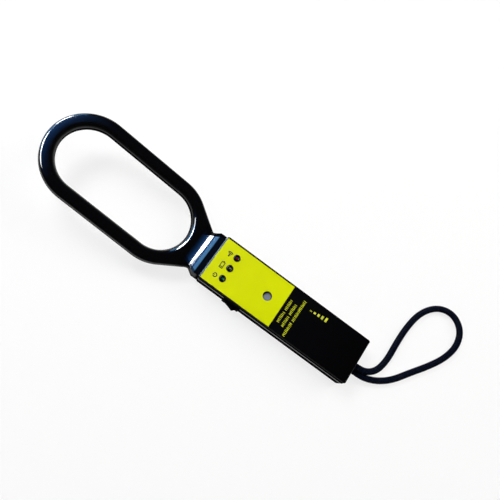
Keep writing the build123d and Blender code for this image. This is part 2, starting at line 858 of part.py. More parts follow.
def battery_lead(side):
    """Lead from the snap, up over the board's edge and down to its top."""
    y = side * battery_lead_half_gap
    leave, climb, land = (along(station) for station in battery_lead_stations)
    snap_height = battery_middle + battery_lead_lift
    arch_height = board_top + battery_lead_arch
    points = [
        (snap_back, y, snap_height),
        (leave, y, snap_height),
        (climb, y, arch_height),
        (land, y, arch_height),
        (land, y, board_top),
    ]
    return lead(points, lead_radius, battery_lead_bend)


with BuildPart() as battery_lead_black:
    add(battery_lead(-1))

with BuildPart() as battery_lead_red:
    add(battery_lead(1))

# Leads of the switch, to the board's underside
with BuildPart() as switch_leads:
    for side in (-1, 1):
        x = switch_x + side * terminal_half_gap
        points = [
            (x, terminal_start + terminal_size[1], switch_lead_height),
            (x, switch_lead_y, switch_lead_height),
            (x, switch_lead_y, board_height),
        ]
        add(lead(points, lead_radius, switch_lead_bend))

# Sliding door under the battery, with a tongue on each side and finger ridges
with BuildPart() as battery_door:
    block(
        (along(door_start), -door_half_width, door_bottom),
        (box_rear, door_half_width, door_bottom + door_thickness),
    )
    for station in tongue_stations:
        block(
            (along(station), -door_half_width - tongue_reach, tongue_bottom),
            (
                along(station) + tongue_length,
                door_half_width + tongue_reach,
                tongue_bottom + tongue_thickness,
            ),
        )
    with BuildSketch(Plane.XY.offset(door_bottom)) as ridges:
        with Locations((along(door_ridge_start), 0)):
            with GridLocations(door_ridge_pitch, 1, door_ridge_count, 1):
                SlotOverall(door_ridge_length, door_ridge_width, rotation=90)
    extrude(ridges.sketch, amount=door_ridge_depth, mode=Mode.SUBTRACT)
    add(tray_form.part, mode=Mode.INTERSECT)

# Charging socket with its centre pin and its lead to the board
socket_back = box_rear - tray_wall - socket_body[0]
with BuildPart() as charge_socket:
    block(
        (socket_back, socket_y - socket_body[1] / 2, socket_height - socket_body[2] / 2),
        (box_rear - tray_wall, socket_y + socket_body[1] / 2, socket_height + socket_body[2] / 2),
    )
    end_rounds([(socket_y, socket_height)], socket_barrel_radius, box_rear - tray_wall, box_rear)
    end_rounds([(socket_y, socket_height)], socket_bore_radius, box_rear - socket_bore_depth, box_rear,
               mode=Mode.SUBTRACT)
    for side in (-1, 1):
        lug_y = socket_y + side * socket_lug_half_gap
        block(
            (socket_back - socket_lug[0], lug_y - socket_lug[1] / 2, socket_height - socket_lug[2] / 2),
            (socket_back, lug_y + socket_lug[1] / 2, socket_height + socket_lug[2] / 2),
        )

with BuildPart() as charge_pin:
    end_rounds([(socket_y, socket_height)], socket_pin_radius, box_rear - socket_bore_depth,
               box_rear - socket_pin_inset)
    fillet(charge_pin.faces().sort_by(Axis.X)[-1].edges(), socket_pin_radius / 2)


def charge_lead_points(side):
    """Route from the socket along the far side of the battery bay to the board."""
    lug_x = socket_back - socket_lug[0] / 2
    lug_y = socket_y + side * socket_lug_half_gap
    spread = side * charge_lead_half_gap
    run_y = charge_lead_run_y + spread
    board_y = charge_lead_board_y + spread
    leave, turn_in, land = (along(station) for station in charge_lead_stations)
    return [
        (lug_x, lug_y, socket_height + socket_lug[2] / 2),
        (lug_x, lug_y, charge_lead_height),
        (leave, run_y, charge_lead_height),
        (turn_in, run_y, charge_lead_height),
        (land + spread, board_y, charge_lead_height),
        (land + spread, board_y, board_top),
    ]


with BuildPart() as charge_leads:
    for side in (-1, 1):
        add(lead(charge_lead_points(side), lead_radius, charge_lead_bend))

# Grommet, knot and wrist cord
with BuildPart() as cord_grommet:
    grommet_place = (grommet_y, grommet_height)
    inner_face = box_rear - tray_wall
    end_rounds([grommet_place], grommet_inner_flange_radius, inner_face - grommet_flange, inner_face)
    end_rounds([grommet_place], grommet_radius, inner_face, box_rear)
    end_rounds([grommet_place], grommet_flange_radius, box_rear, box_rear + grommet_flange)
    end_rounds(cord_leg_places, cord_hole_radius, inner_face - grommet_flange, box_rear + grommet_flange,
               mode=Mode.SUBTRACT)

cord_exit = box_rear + grommet_flange
with BuildPart() as cord_knot:
    end_rounds([grommet_place], knot_radius, box_rear - knot_inset - knot_length, box_rear - knot_inset)
    fillet(cord_knot.faces().filter_by(Axis.X).edges(), knot_round)
    end_rounds(cord_leg_places, cord_radius, box_rear - knot_inset - knot_length / 2, cord_exit)

# The cord's points: out of the far leg, round the loop on the table, and back to the near leg
first_leg, last_leg = cord_leg_places
cord_points = [
    Vector(cord_exit, *first_leg),
    Vector(along(194.5), *first_leg),
    Vector(along(205.0), 3.2, 8.4),
    Vector(along(213.5), 13.0, 3.9),
    Vector(along(216.8), 29.0, cord_rest_height),
    Vector(along(216.4), 49.0, cord_rest_height),
    Vector(along(217.4), 71.0, cord_rest_height),
    Vector(along(222.5), 94.5, cord_rest_height),
    Vector(along(236.5), 112.5, cord_rest_height),
    Vector(along(256.0), 118.0, cord_rest_height),
    Vector(along(273.0), 108.5, cord_rest_height),
    Vector(along(278.5), 90.0, cord_rest_height),
    Vector(along(273.0), 69.5, cord_rest_height),
    Vector(along(260.5), 49.5, cord_rest_height),
    Vector(along(246.0), 31.0, cord_rest_height),
    Vector(along(233.0), 13.0, cord_rest_height),
    Vector(along(219.0), 1.6, 3.6),
    Vector(along(205.5), -4.2, 5.8),
    Vector(along(194.5), *last_leg),
    Vector(cord_exit, *last_leg),
]
cord_radii = []
for before, corner, after in zip(cord_points, cord_points[1:], cord_points[2:]):
    turn = radians((corner - before).get_angle(after - corner))
    shorter = min((corner - before).length, (after - corner).length)
    cord_radii.append(cord_arc_share * shorter / tan(turn / 2))

with BuildPart() as wrist_cord:
    with BuildLine() as cord_line:
        FilletPolyline(*cord_points, radius=cord_radii)
    with BuildSketch(Plane.YZ.offset(cord_exit)):
        with Locations(first_leg):
            Circle(cord_radius)
    sweep()

cord_length = sum(edge.length for edge in cord_line.edges())
print("cord radii", [round(radius, 1) for radius in cord_radii])
print("cord length", round(cord_length, 1))
print("cord volume", round(wrist_cord.part.volume, 1), "section x length",
      round(pi * cord_radius**2 * cord_length, 1))

save(head_upper_shell, "head_upper_shell")
save(head_lower_shell, "head_lower_shell")
save(search_coil, "search_coil")
save(coil_lead, "coil_lead")
save(case_tray, "case_tray")
save(case_cover, "case_cover")
save(label_yellow, "label_yellow")
save(label_black, "label_black")
for colour, place in zip(("green", "amber", "red"), lamp_places):
    save(lamp_bezel(place), f"lamp_bezel_{colour}")
    save(lamp(place), f"lamp_{colour}")
save(sounder_body, "sounder_body")
save(sounder_disc, "sounder_disc")
save(main_board, "main_board")
save(detector_chip, "detector_chip")
save(driver_chip, "driver_chip")
save(board_capacitors, "board_capacitors")
save(board_resistors, "board_resistors")
save(board_screws, "board_screws")
save(case_screws, "case_screws")
save(head_screws, "head_screws")
save(switch_body, "switch_body")
save(switch_rocker, "switch_rocker")
save(switch_terminals, "switch_terminals")
save(switch_leads, "switch_leads")
save(battery, "battery")
save(battery_snap, "battery_snap")
save(battery_lead_black, "battery_lead_black")
save(battery_lead_red, "battery_lead_red")
save(battery_door, "battery_door")
save(charge_socket, "charge_socket")
save(charge_pin, "charge_pin")
save(charge_leads, "charge_leads")
save(cord_grommet, "cord_grommet")
save(cord_knot, "cord_knot")
save(wrist_cord, "wrist_cord")
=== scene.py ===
"""Looks of a handheld metal detector: glossy search head, labelled handle, switch, lamps and wrist cord."""

import logging
import math
from dataclasses import dataclass, field
from enum import Enum
from typing import Any, Callable, Optional, Sequence, Union

import bmesh
import bpy
from mathutils import Matrix, Vector


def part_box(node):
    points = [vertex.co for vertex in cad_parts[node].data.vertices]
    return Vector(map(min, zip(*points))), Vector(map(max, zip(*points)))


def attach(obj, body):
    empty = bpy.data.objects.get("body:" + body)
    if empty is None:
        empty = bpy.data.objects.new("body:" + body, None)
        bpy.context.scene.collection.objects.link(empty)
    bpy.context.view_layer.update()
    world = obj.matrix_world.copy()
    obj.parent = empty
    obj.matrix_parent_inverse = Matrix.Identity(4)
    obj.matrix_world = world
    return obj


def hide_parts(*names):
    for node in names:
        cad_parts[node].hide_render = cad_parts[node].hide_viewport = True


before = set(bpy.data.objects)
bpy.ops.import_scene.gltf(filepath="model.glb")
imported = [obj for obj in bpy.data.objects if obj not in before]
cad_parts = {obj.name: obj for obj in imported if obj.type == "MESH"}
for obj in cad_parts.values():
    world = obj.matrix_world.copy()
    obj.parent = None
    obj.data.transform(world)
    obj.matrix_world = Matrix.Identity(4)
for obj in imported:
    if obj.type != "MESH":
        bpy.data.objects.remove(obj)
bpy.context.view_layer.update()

LOG = logging.getLogger("detector")
MM = 0.001
FULL_TURN = 2.0 * math.pi
MADE: dict[str, bpy.types.Material] = {}

Colour = tuple[float, float, float]
Point = tuple[float, float, float]
Span = tuple[float, float]
Section = tuple[Span, ...]
Sweep = tuple[float, float, int]
Mesh = bpy.types.Mesh
Piece = bpy.types.Object
Settings = Optional[dict[str, Any]]
Inputs = Optional[dict[Union[str, int], Any]]


def low(node: str) -> Vector:
    """A CAD node's lowest corner at rest."""
    return Vector(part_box(node)[0])


def high(node: str) -> Vector:
    """A CAD node's highest corner at rest."""
    return Vector(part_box(node)[1])


def middle(node: str) -> Vector:
    """The middle of a CAD node's box at rest."""
    return (low(node) + high(node)) / 2


BOX_FRONT = low("case_tray").x
BOX_REAR = high("case_tray").x
LABEL_FRONT = low("label_yellow").x
LABEL_TOP = high("label_yellow").z
HEAD_ROOT: Point = (BOX_FRONT, 0.0, 9.1 * MM)
HEAD_PITCH = math.radians(10.5)


class Body(str, Enum):
    """The CAD bodies that the new pieces ride on."""

    ROOT = "root"
    ROCKER = "switch_rocker"


class Seen(Enum):
    """Which surfaces a light panel acts on."""

    MATT = "lights matt surfaces"
    GLOSS = "shows in glossy surfaces"


# Node graphs


def operator(operation: str, reflected: bool = False) -> Callable[["Value", "Operand"], "Value"]:
    """Make a Python operator that adds a Math node.

    Args:
        operation: Blender's name of the operation.
        reflected: the value stands on the right, after a number.

    Returns:
        The operator's method.
    """

    def apply(self: "Value", other: "Operand") -> "Value":
        """Add the node for this value and the other operand."""
        return self.math(operation, *((other, self) if reflected else (self, other)))

    return apply


class Value:
    """A node's output that takes part in Python expressions."""

    def __init__(self, graph: "Graph", socket: bpy.types.NodeSocket) -> None:
        """Wrap one output socket of a graph."""
        self.graph = graph
        self.socket = socket

    def math(self, operation: str, *operands: "Operand", clamped: bool = False) -> "Value":
        """Add a Math node to the graph, whose result can be kept between 0 and 1."""
        settings = {"operation": operation, "use_clamp": clamped}
        return self.graph.value("ShaderNodeMath", settings, dict(enumerate(operands)))

    __add__, __radd__ = operator("ADD"), operator("ADD", reflected=True)
    __sub__, __rsub__ = operator("SUBTRACT"), operator("SUBTRACT", reflected=True)
    __mul__, __rmul__ = operator("MULTIPLY"), operator("MULTIPLY", reflected=True)
    __truediv__, __rtruediv__ = operator("DIVIDE"), operator("DIVIDE", reflected=True)

    def sine(self) -> "Value":
        """Sine of the value in radians."""
        return self.math("SINE", self)

    def cosine(self) -> "Value":
        """Cosine of the value in radians."""
        return self.math("COSINE", self)

    def ripple(self) -> "Value":
        """Sine of the value in radians, brought between 0 and 1."""
        return self.sine() * 0.5 + 0.5

    def extent(self) -> "Value":
        """The value without its sign."""
        return self.math("ABSOLUTE", self)

    def above(self, limit: float) -> "Value":
        """One where the value is over the limit, else zero."""
        return self.math("GREATER_THAN", self, limit)

    def share(self) -> "Value":
        """The value kept between 0 and 1."""
        return self.math("ADD", self, 0.0, clamped=True)


Operand = Union[Value, float]


class Graph:
    """A node tree that is filled by one method."""

    def __init__(self, tree: bpy.types.NodeTree) -> None:
        """Wrap a tree."""
        self.tree = tree

    def node(self, kind: str, settings: Settings = None, inputs: Inputs = None) -> bpy.types.Node:
        """Add a node.

        Args:
            kind: the node's Blender type.
            settings: the node's own properties, set first; "stops" are a ramp's two (place, grey) pairs.
            inputs: values or links by socket name or number.

        Returns:
            The new node.
        """
        made = self.tree.nodes.new(kind)
        for key, setting in (settings or {}).items():
            if key == "stops":
                for element, (place, grey) in zip(made.color_ramp.elements, setting):
                    element.position = place
                    element.color = (grey, grey, grey, 1.0)
            else:
                setattr(made, key, setting)
        for key, given in (inputs or {}).items():
            self.feed(made.inputs[key], given)
        return made

    def value(
        self, kind: str, settings: Settings = None, inputs: Inputs = None, output: Union[str, int] = 0
    ) -> Value:
        """Add a node as the node method does, and give one of its outputs by name or number."""
        return Value(self, self.node(kind, settings, inputs).outputs[output])

    def feed(self, socket: bpy.types.NodeSocket, given: Any) -> None:
        """Fill a node's input.

        Args:
            socket: the input.
            given: a value to link, or the socket's own number or colour.
        """
        if isinstance(given, Value):
            self.tree.links.new(given.socket, socket)
        else:
            socket.default_value = given

    def vector(self, operation: str, *operands: Any, output: Union[str, int] = 0) -> Value:
        """A Vector Math node's result."""
        return self.value("ShaderNodeVectorMath", {"operation": operation}, dict(enumerate(operands)), output)

    def step(self, given: Value, start: float, end: float, below: float = 0.0, above: float = 1.0) -> Value:
        """A smooth change from one number to another, while a value goes from its start to its end."""
        inputs = {"Value": given, "From Min": start, "From Max": end, "To Min": below, "To Max": above}
        return self.value("ShaderNodeMapRange", {"interpolation_type": "SMOOTHSTEP"}, inputs)


@dataclass(frozen=True)
class Clouds:
    """Cloudy variation over a surface.

    It has a number of clouds per metre, finer layers of detail and a scale along each axis. With edges, it
    rises from 0 at the first level to 1 at the second.
    """

    scale: float
    detail: float = 2.0
    stretch: Point = (1.0, 1.0, 1.0)
    edges: Optional[Span] = None


class Surface(Graph):
    """A procedural material in the making."""

    # A Mix node's sockets for colours, which share their names with those for numbers
    MIX_SHARE, MIX_FIRST, MIX_SECOND, MIX_RESULT = 0, 6, 7, 2

    def __init__(self, name: str) -> None:
        """Start a material with a plain principled shader.

        Args:
            name: the material's name.
        """
        self.material = bpy.data.materials.new(name)
        self.material.use_nodes = True
        super().__init__(self.material.node_tree)
        self.shader = self.tree.nodes["Principled BSDF"]

    def put(self, **constants: Any) -> None:
        """Set constants on the shader's own sockets, with underscores for spaces."""
        for key, number in constants.items():
            self.shader.inputs[key.replace("_", " ")].default_value = number

    def link(self, socket: str, given: Value) -> None:
        """Feed one of the shader's sockets."""
        self.feed(self.shader.inputs[socket], given)

    def place(self, centre: Point = (0.0, 0.0, 0.0), stretch: Point = (1.0, 1.0, 1.0)) -> Value:
        """Object coordinates from a centre in metres, scaled along each axis."""
        raw = self.value("ShaderNodeTexCoord", output="Object")
        return self.vector("MULTIPLY", self.vector("SUBTRACT", raw, centre), stretch)

    def along(self, spot: Value, direction: Point) -> Value:
        """How far a place lies along a direction."""
        return self.vector("DOT_PRODUCT", spot, direction, output="Value")

    def from_axis(self, centre: Point) -> Value:
        """How far the surface lies from the upright axis through a point."""
        return self.vector("LENGTH", self.place(centre, (1.0, 1.0, 0.0)), output="Value")

    def ramp(self, given: Value, start: float, end: float) -> Value:
        """A straight rise from 0 to 1, while a value goes from its start to its end."""
        return self.value("ShaderNodeValToRGB", {"stops": ((start, 0.0), (end, 1.0))}, {"Fac": given})

    def clouds(self, kind: Clouds) -> Value:
        """Cloudy variation between 0 and 1.

        Args:
            kind: the clouds' scale, detail, stretch and edges.

        Returns:
            The variation.
        """
        inputs = {"Vector": self.place(stretch=kind.stretch), "Scale": kind.scale, "Detail": kind.detail}
        soft = self.value("ShaderNodeTexNoise", {"noise_dimensions": "3D"}, inputs)
        return self.ramp(soft, *kind.edges) if kind.edges else soft

    def blend(self, share: Operand, first: Any, second: Any) -> Value:
        """Mix two colours.

        Args:
            share: how much of the second colour shows.
            first: a colour or a value.
            second: a colour or a value.

        Returns:
            The mixed colour.
        """
        pair = [colour if isinstance(colour, Value) else (*colour, 1.0) for colour in (first, second)]
        inputs = {self.MIX_SHARE: share, self.MIX_FIRST: pair[0], self.MIX_SECOND: pair[1]}
        return self.value("ShaderNodeMix", {"data_type": "RGBA"}, inputs, self.MIX_RESULT)

    def tint(self, share: Operand, first: Any, second: Any) -> None:
        """Make two mixed colours the base colour."""
        self.link("Base Color", self.blend(share, first, second))

    def roughen(self, given: Value) -> None:
        """Make a value the roughness."""
        self.link("Roughness", given.share())

    def relief(self, height: Value, strength: float, depth: float) -> None:
        """Raise the surface by a bump whose height runs from 0 to 1, with its depth in metres."""
        inputs = {"Height": height, "Strength": strength, "Distance": depth}
        self.link("Normal", self.value("ShaderNodeBump", None, inputs))


class Pattern(Graph):
    """A Geometry Nodes tree with named sizes, run once on a mesh to make a plain mesh."""

    def __init__(self, name: str, sizes: dict[str, Union[int, float]]) -> None:
        """Start a tree.

        Args:
            name: the tree's name.
            sizes: its named inputs, whole numbers or lengths.
        """
        super().__init__(bpy.data.node_groups.new(name, "GeometryNodeTree"))
        face = self.tree.interface
        face.new_socket("Geometry", in_out="INPUT", socket_type="NodeSocketGeometry")
        face.new_socket("Geometry", in_out="OUTPUT", socket_type="NodeSocketGeometry")
        self.sizes: dict[str, Union[int, float]] = {}
        for key, number in sizes.items():
            kind = "NodeSocketInt" if isinstance(number, int) else "NodeSocketFloat"
            made = face.new_socket(key, in_out="INPUT", socket_type=kind)
            self.sizes[made.identifier] = number
        self.start = self.node("NodeGroupInput")
        self.end = self.node("NodeGroupOutput")

    def size(self, key: str) -> Value:
        """One of the named inputs."""
        return Value(self, self.start.outputs[key])

    @property
    def base(self) -> Value:
        """The mesh that the tree runs on."""
        return Value(self, self.start.outputs["Geometry"])

    def lines(self) -> Value:
        """The base mesh's edges as curves."""
        return self.value("GeometryNodeMeshToCurve", None, {"Mesh": self.base})

    def circle(self, sides: Operand, radius: Operand) -> Value:
        """A round curve."""
        inputs = {"Resolution": sides, "Radius": radius}
        return self.value("GeometryNodeCurvePrimitiveCircle", {"mode": "RADIUS"}, inputs)

    def upright(self, curve: Value) -> Value:
        """A curve along which sections stand upright."""
        return self.value("GeometryNodeSetCurveNormal", {"mode": "Z_UP"}, {"Curve": curve})

    def sweep(self, curve: Value, section: Value) -> Value:
        """A section run along a curve, with closed ends."""
        inputs = {"Curve": curve, "Profile Curve": section, "Fill Caps": True}
        return self.value("GeometryNodeCurveToMesh", None, inputs)

    def join(self, *parts: Value) -> Value:
        """Several geometries as one.

        Args:
            parts: the geometries.

        Returns:
            The joined geometry.
        """
        made = self.node("GeometryNodeJoinGeometry")
        for part in parts:
            self.feed(made.inputs[0], part)
        return Value(self, made.outputs[0])

    def smooth(self, shape: Value) -> Value:
        """Geometry that is shaded smooth."""
        return self.value("GeometryNodeSetShadeSmooth", None, {"Geometry": shape})

    def scaled(self, direction: Value, length: Operand) -> Value:
        """A vector of a given length along a direction."""
        return self.value("ShaderNodeVectorMath", {"operation": "SCALE"}, {0: direction, "Scale": length})

    def run(self, mesh: Mesh, shape: Value, finish: "Finish", name: str) -> Piece:
        """Make instances real, set the material, run the tree and keep its result.

        Args:
            mesh: the mesh that the tree runs on.
            shape: the geometry to hand out.
            finish: its surface.
            name: the new piece's name.

        Returns:
            A plain mesh object at the origin.
        """
        real = self.value("GeometryNodeRealizeInstances", None, {"Geometry": shape})
        inputs = {"Geometry": real, "Material": finish.material()}
        self.feed(self.end.inputs[0], self.value("GeometryNodeSetMaterial", None, inputs))
        carrier = Shape.placed(f"{name}_base", mesh)
        modifier = carrier.modifiers.new("pattern", "NODES")
        modifier.node_group = self.tree
        for identifier, number in self.sizes.items():
            modifier[identifier] = number
        made = Shape.baked(carrier)
        carrier.modifiers.remove(modifier)
        bpy.data.objects.remove(carrier)
        return Shape.placed(name, made)


# Mesh helpers


@dataclass(frozen=True)
class Chain:
    """A row of points in metres, each joined to the next, which may close on itself."""

    places: Sequence[Point]
    closed: bool = False


class Shape:
    """Ways to make, round and keep meshes."""

    MERGE_DISTANCE = 0.002 * MM
    FLAT_ANGLE = math.radians(0.3)
    EASED_ANGLE = math.radians(40.0)
    EASED_SEGMENTS = 3
    SHARP_ANGLE = math.radians(50.0)
    BEAD_SIDES = 8

    @staticmethod
    def placed(name: str, mesh: Mesh) -> Piece:
        """Show a mesh.

        Args:
            name: the name of the mesh and its object.
            mesh: the mesh.

        Returns:
            An object at the origin.
        """
        mesh.name = name
        made = bpy.data.objects.new(name, mesh)
        bpy.context.scene.collection.objects.link(made)
        return made

    @staticmethod
    def baked(source: Piece) -> Mesh:
        """Work out an object's modifiers.

        Args:
            source: the object.

        Returns:
            Its final mesh.
        """
        bpy.context.view_layer.update()
        graph = bpy.context.evaluated_depsgraph_get()
        return bpy.data.meshes.new_from_object(source.evaluated_get(graph), depsgraph=graph)

    @staticmethod
    def chains(name: str, chains: Sequence[Chain]) -> Mesh:
        """Make a mesh of points and edges.

        Args:
            name: the mesh's name.
            chains: the rows of points.

        Returns:
            The mesh.
        """
        places: list[Point] = []
        edges: list[tuple[int, int]] = []
        for chain in chains:
            first = len(places)
            places.extend(chain.places)
            edges.extend((i, i + 1) for i in range(first, len(places) - 1))
            if chain.closed:
                edges.append((len(places) - 1, first))
        mesh = bpy.data.meshes.new(name)
        mesh.from_pydata(places, edges, [])
        return mesh

    @staticmethod
    def arc(centre: Point, radius: float, start_deg: float, end_deg: float, steps: int) -> list[Point]:
        """Points along a level arc.

        Args:
            centre: the arc's centre, in metres.
            radius: its radius in metres.
            start_deg: the bearing of its first point.
            end_deg: the bearing of its last point.
            steps: how many steps it has.

        Returns:
            The points.
        """
        x, y, z = centre
        bearings = (math.radians(start_deg + (end_deg - start_deg) * i / steps) for i in range(steps + 1))
        return [(x + radius * math.cos(b), y + radius * math.sin(b), z) for b in bearings]

    @staticmethod
    def bead(name: str, chains: Sequence[Chain], radius: float, finish: "Finish") -> Piece:
        """Lay a thin round bead along chains of points.

        Args:
            name: the piece's name.
            chains: the rows of points.
            radius: the bead's radius in metres.
            finish: its surface.

        Returns:
            The bead as one mesh.
        """
        work = Pattern(f"{name}_run", {"Radius": radius, "Sides": Shape.BEAD_SIDES})
        run = work.sweep(work.lines(), work.circle(work.size("Sides"), work.size("Radius")))
        return work.run(Shape.chains(f"{name}_path", chains), work.smooth(run), finish, name)

    @staticmethod
    def strip(name: str, rings: Sequence[Sequence[Point]], finish: "Finish") -> Piece:
        """Close a strip through a row of sections.

        Args:
            name: the piece's name.
            rings: each section's corners in the same order, in metres.
            finish: its surface.

        Returns:
            The strip.
        """
        count = len(rings[0])
        places = [place for ring in rings for place in ring]
        faces = [tuple(range(count)), tuple(range(len(places) - count, len(places)))]
        for first in range(0, len(places) - count, count):
            for i in range(count):
                near, next_near = first + i, first + (i + 1) % count
                faces.append((near, next_near, next_near + count, near + count))
        mesh = bpy.data.meshes.new(name)
        mesh.from_pydata(places, [], faces)
        work = bmesh.new()
        work.from_mesh(mesh)
        bmesh.ops.recalc_face_normals(work, faces=work.faces)
        work.to_mesh(mesh)
        work.free()
        piece = Shape.placed(name, mesh)
        finish.dress(piece)
        return piece

    @staticmethod
    def clean_copy(node: str) -> Mesh:
        """Copy a CAD node's mesh, merge its corners and make its flat faces whole.

        Args:
            node: the CAD node.

        Returns:
            The copy.
        """
        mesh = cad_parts[node].data.copy()
        mesh.materials.clear()
        if "custom_normal" in mesh.attributes:
            mesh.attributes.remove(mesh.attributes["custom_normal"])
        work = bmesh.new()
        work.from_mesh(mesh)
        bmesh.ops.remove_doubles(work, verts=work.verts, dist=Shape.MERGE_DISTANCE)
        bmesh.ops.dissolve_limit(work, angle_limit=Shape.FLAT_ANGLE, verts=work.verts, edges=work.edges)
        work.to_mesh(mesh)
        work.free()
        return mesh

    @staticmethod
    def eased(node: str, name: str, width: float) -> Piece:
        """Copy a CAD node with its sharp edges rounded over.

        Args:
            node: the CAD node.
            name: the new piece's name.
            width: the rounding's width in metres.

        Returns:
            The new piece.
        """
        carrier = Shape.placed(f"{name}_base", Shape.clean_copy(node))
        bevel = carrier.modifiers.new("ease", "BEVEL")
        bevel.width = width
        bevel.segments = Shape.EASED_SEGMENTS
        bevel.limit_method = "ANGLE"
        bevel.angle_limit = Shape.EASED_ANGLE
        bevel.use_clamp_overlap = True
        mesh = Shape.baked(carrier)
        mesh.shade_smooth()
        mesh.set_sharp_from_angle(angle=Shape.SHARP_ANGLE)
        bpy.data.objects.remove(carrier)
        return Shape.placed(name, mesh)


def ride(piece: Piece, body: Body, slot: str, replaces: Sequence[str] = ()) -> Piece:
    """Fasten a finished piece to its CAD body.

    Args:
        piece: the new object.
        body: the body that it moves with.
        slot: the record's material slot; not used.
        replaces: the CAD nodes that it stands for.

    Returns:
        The same piece.
    """
    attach(piece, body.value)
    if replaces:
        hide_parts(*replaces)
    return piece


# Finishes


@dataclass(frozen=True)
class Finish:
    """A named surface that makes its own material."""

    name: str

    def material(self) -> bpy.types.Material:
        """Make the material once, and hand out the same one afterwards.

        Returns:
            The material.
        """
        if self.name not in MADE:
            surface = Surface(self.name)
            self.paint(surface)
            MADE[self.name] = surface.material
        return MADE[self.name]

    def paint(self, surface: Surface) -> None:
        """Fill in the material's nodes."""
        raise NotImplementedError

    def dress(self, *pieces: Piece) -> None:
        """Give pieces this finish alone.

        Args:
            pieces: the objects.
        """
        for piece in pieces:
            piece.data.materials.clear()
            piece.data.materials.append(self.material())

    def dress_nodes(self, *nodes: str) -> None:
        """Give CAD nodes this finish."""
        self.dress(*(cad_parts[n] for n in nodes))


@dataclass(frozen=True)
class MouldedPlastic(Finish):
    """Injection-moulded plastic with a faint haze, handling marks, a fine grain and a polished skin."""

    colour: Colour = (0.0008, 0.0008, 0.0012)
    haze: Colour = (0.0022, 0.0023, 0.003)
    roughness: float = 0.4
    spread: float = 0.1
    specular: float = 0.0
    gloss: float = 0.015
    skin: float = 0.07
    grain: Clouds = Clouds(2600.0)
    grain_strength: float = 0.12
    grain_depth: float = 0.02 * MM
    shine: Clouds = Clouds(45.0, 3.0)
    shine_spread: float = 0.3
    veil: Clouds = Clouds(28.0, 4.0)
    veil_tint: float = 0.6
    scratches: Clouds = Clouds(9.0, 3.0, (12.0, 420.0, 420.0), (0.66, 0.74))
    scratch_tint: float = 0.3
    scratch_wear: float = 0.6
    scratch_dulling: float = 0.15
    smudges: Clouds = Clouds(70.0, 5.0, edges=(0.42, 0.72))
    smudge_dulling: float = 0.12

    def polish(self, surface: Surface) -> Value:
        """Where the polished skin shows: the same all over, but for slow clouds."""
        uneven = surface.clouds(self.shine) * self.shine_spread + (1.0 - self.shine_spread / 2)
        return uneven * self.gloss

    def paint(self, surface: Surface) -> None:
        """Haze in the colour, smudges and hair scratches in the gloss, grain in the relief.

        Args:
            surface: the material in the making.
        """
        veil, scratch, smudge = (surface.clouds(kind) for kind in (self.veil, self.scratches, self.smudges))
        surface.tint(veil * self.veil_tint + scratch * self.scratch_tint, self.colour, self.haze)
        worn = veil * self.spread + smudge * self.spread + scratch * (self.spread * self.scratch_wear)
        surface.roughen(worn + (self.roughness - 0.5 * self.spread))
        clean_and_lit = 1.0 - smudge * self.smudge_dulling - scratch * self.scratch_dulling
        surface.link("Coat Weight", (self.polish(surface) * clean_and_lit).share())
        surface.relief(surface.clouds(self.grain), self.grain_strength, self.grain_depth)
        surface.put(Specular_IOR_Level=self.specular, Coat_Roughness=self.skin)


@dataclass(frozen=True)
class HeadPlastic(MouldedPlastic):
    """The head's plastic: polished above its shoulder, satin on its flanks and on the collar's cheeks.

    Each span is where a stretch starts and where it is full: a height over the head's own plane, a distance
    from the middle, or a place along the frame before the box's front.
    """

    shoulder: Span = (2.9 * MM, 3.5 * MM)
    skirt: Span = (-4.5 * MM, -0.5 * MM)
    skirt_gloss: float = 0.02
    cheek: Span = (25.2 * MM, 26.2 * MM)
    cheek_lean: float = 0.48
    far_margin: float = 1.7 * MM
    cheek_foot: Span = (-2.5 * MM, -1.5 * MM)
    cheek_gloss: float = 0.2
    far_half: Span = (-5.0 * MM, 5.0 * MM)
    joint: Span = (-4.0 * MM, -1.5 * MM)
    joint_margin: float = 1.5 * MM
    collar: Span = (-27.0 * MM, -19.0 * MM)

    def polish(self, surface: Surface) -> Value:
        """Full gloss on the upper face, some on the near cheek, hardly any on the flanks and a little below.

        Args:
            surface: the material in the making.

        Returns:
            The skin's strength.
        """
        spot = surface.place(HEAD_ROOT)
        height = surface.along(spot, (math.sin(HEAD_PITCH), 0.0, math.cos(HEAD_PITCH)))
        run = surface.along(spot, (1.0, 0.0, 0.0))
        across = surface.along(spot, (0.0, 1.0, 0.0)) + self.far_margin / 2
        joint = surface.step(run, *self.joint)
        side = across.extent() + self.far_margin / 2 - run * self.cheek_lean + joint * self.joint_margin
        top = surface.step(height, *self.shoulder)
        cheek = surface.step(side, *self.cheek) * surface.step(run, *self.collar)
        skirt = (1.0 - surface.step(height, *self.skirt)) * self.skirt_gloss
        near = 1.0 - surface.step(across, *self.far_half)
        clear = near * (1.0 - joint) * surface.step(height, *self.cheek_foot)
        rubbed = cheek * clear * self.cheek_gloss
        return top * (1.0 - cheek) * (1.0 - self.gloss) + rubbed + skirt + self.gloss


@dataclass(frozen=True)
class RimmedPlastic(MouldedPlastic):
    """Satin plastic whose upper rim is rubbed to a gloss on the side that lies in the hand."""

    rim: Span = (23.9 * MM, 24.5 * MM)
    rim_gloss: float = 0.9
    far_side: Span = (20.0 * MM, 24.0 * MM)

    def polish(self, surface: Surface) -> Value:
        """A little gloss on the walls and more along the upper rim, but for the far side.

        Args:
            surface: the material in the making.

        Returns:
            The skin's strength.
        """
        spot = surface.place()
        rim = surface.step(surface.along(spot, (0.0, 0.0, 1.0)), *self.rim)
        near = 1.0 - surface.step(surface.along(spot, (0.0, 1.0, 0.0)), *self.far_side)
        return rim * near * (self.rim_gloss - self.gloss) + self.gloss


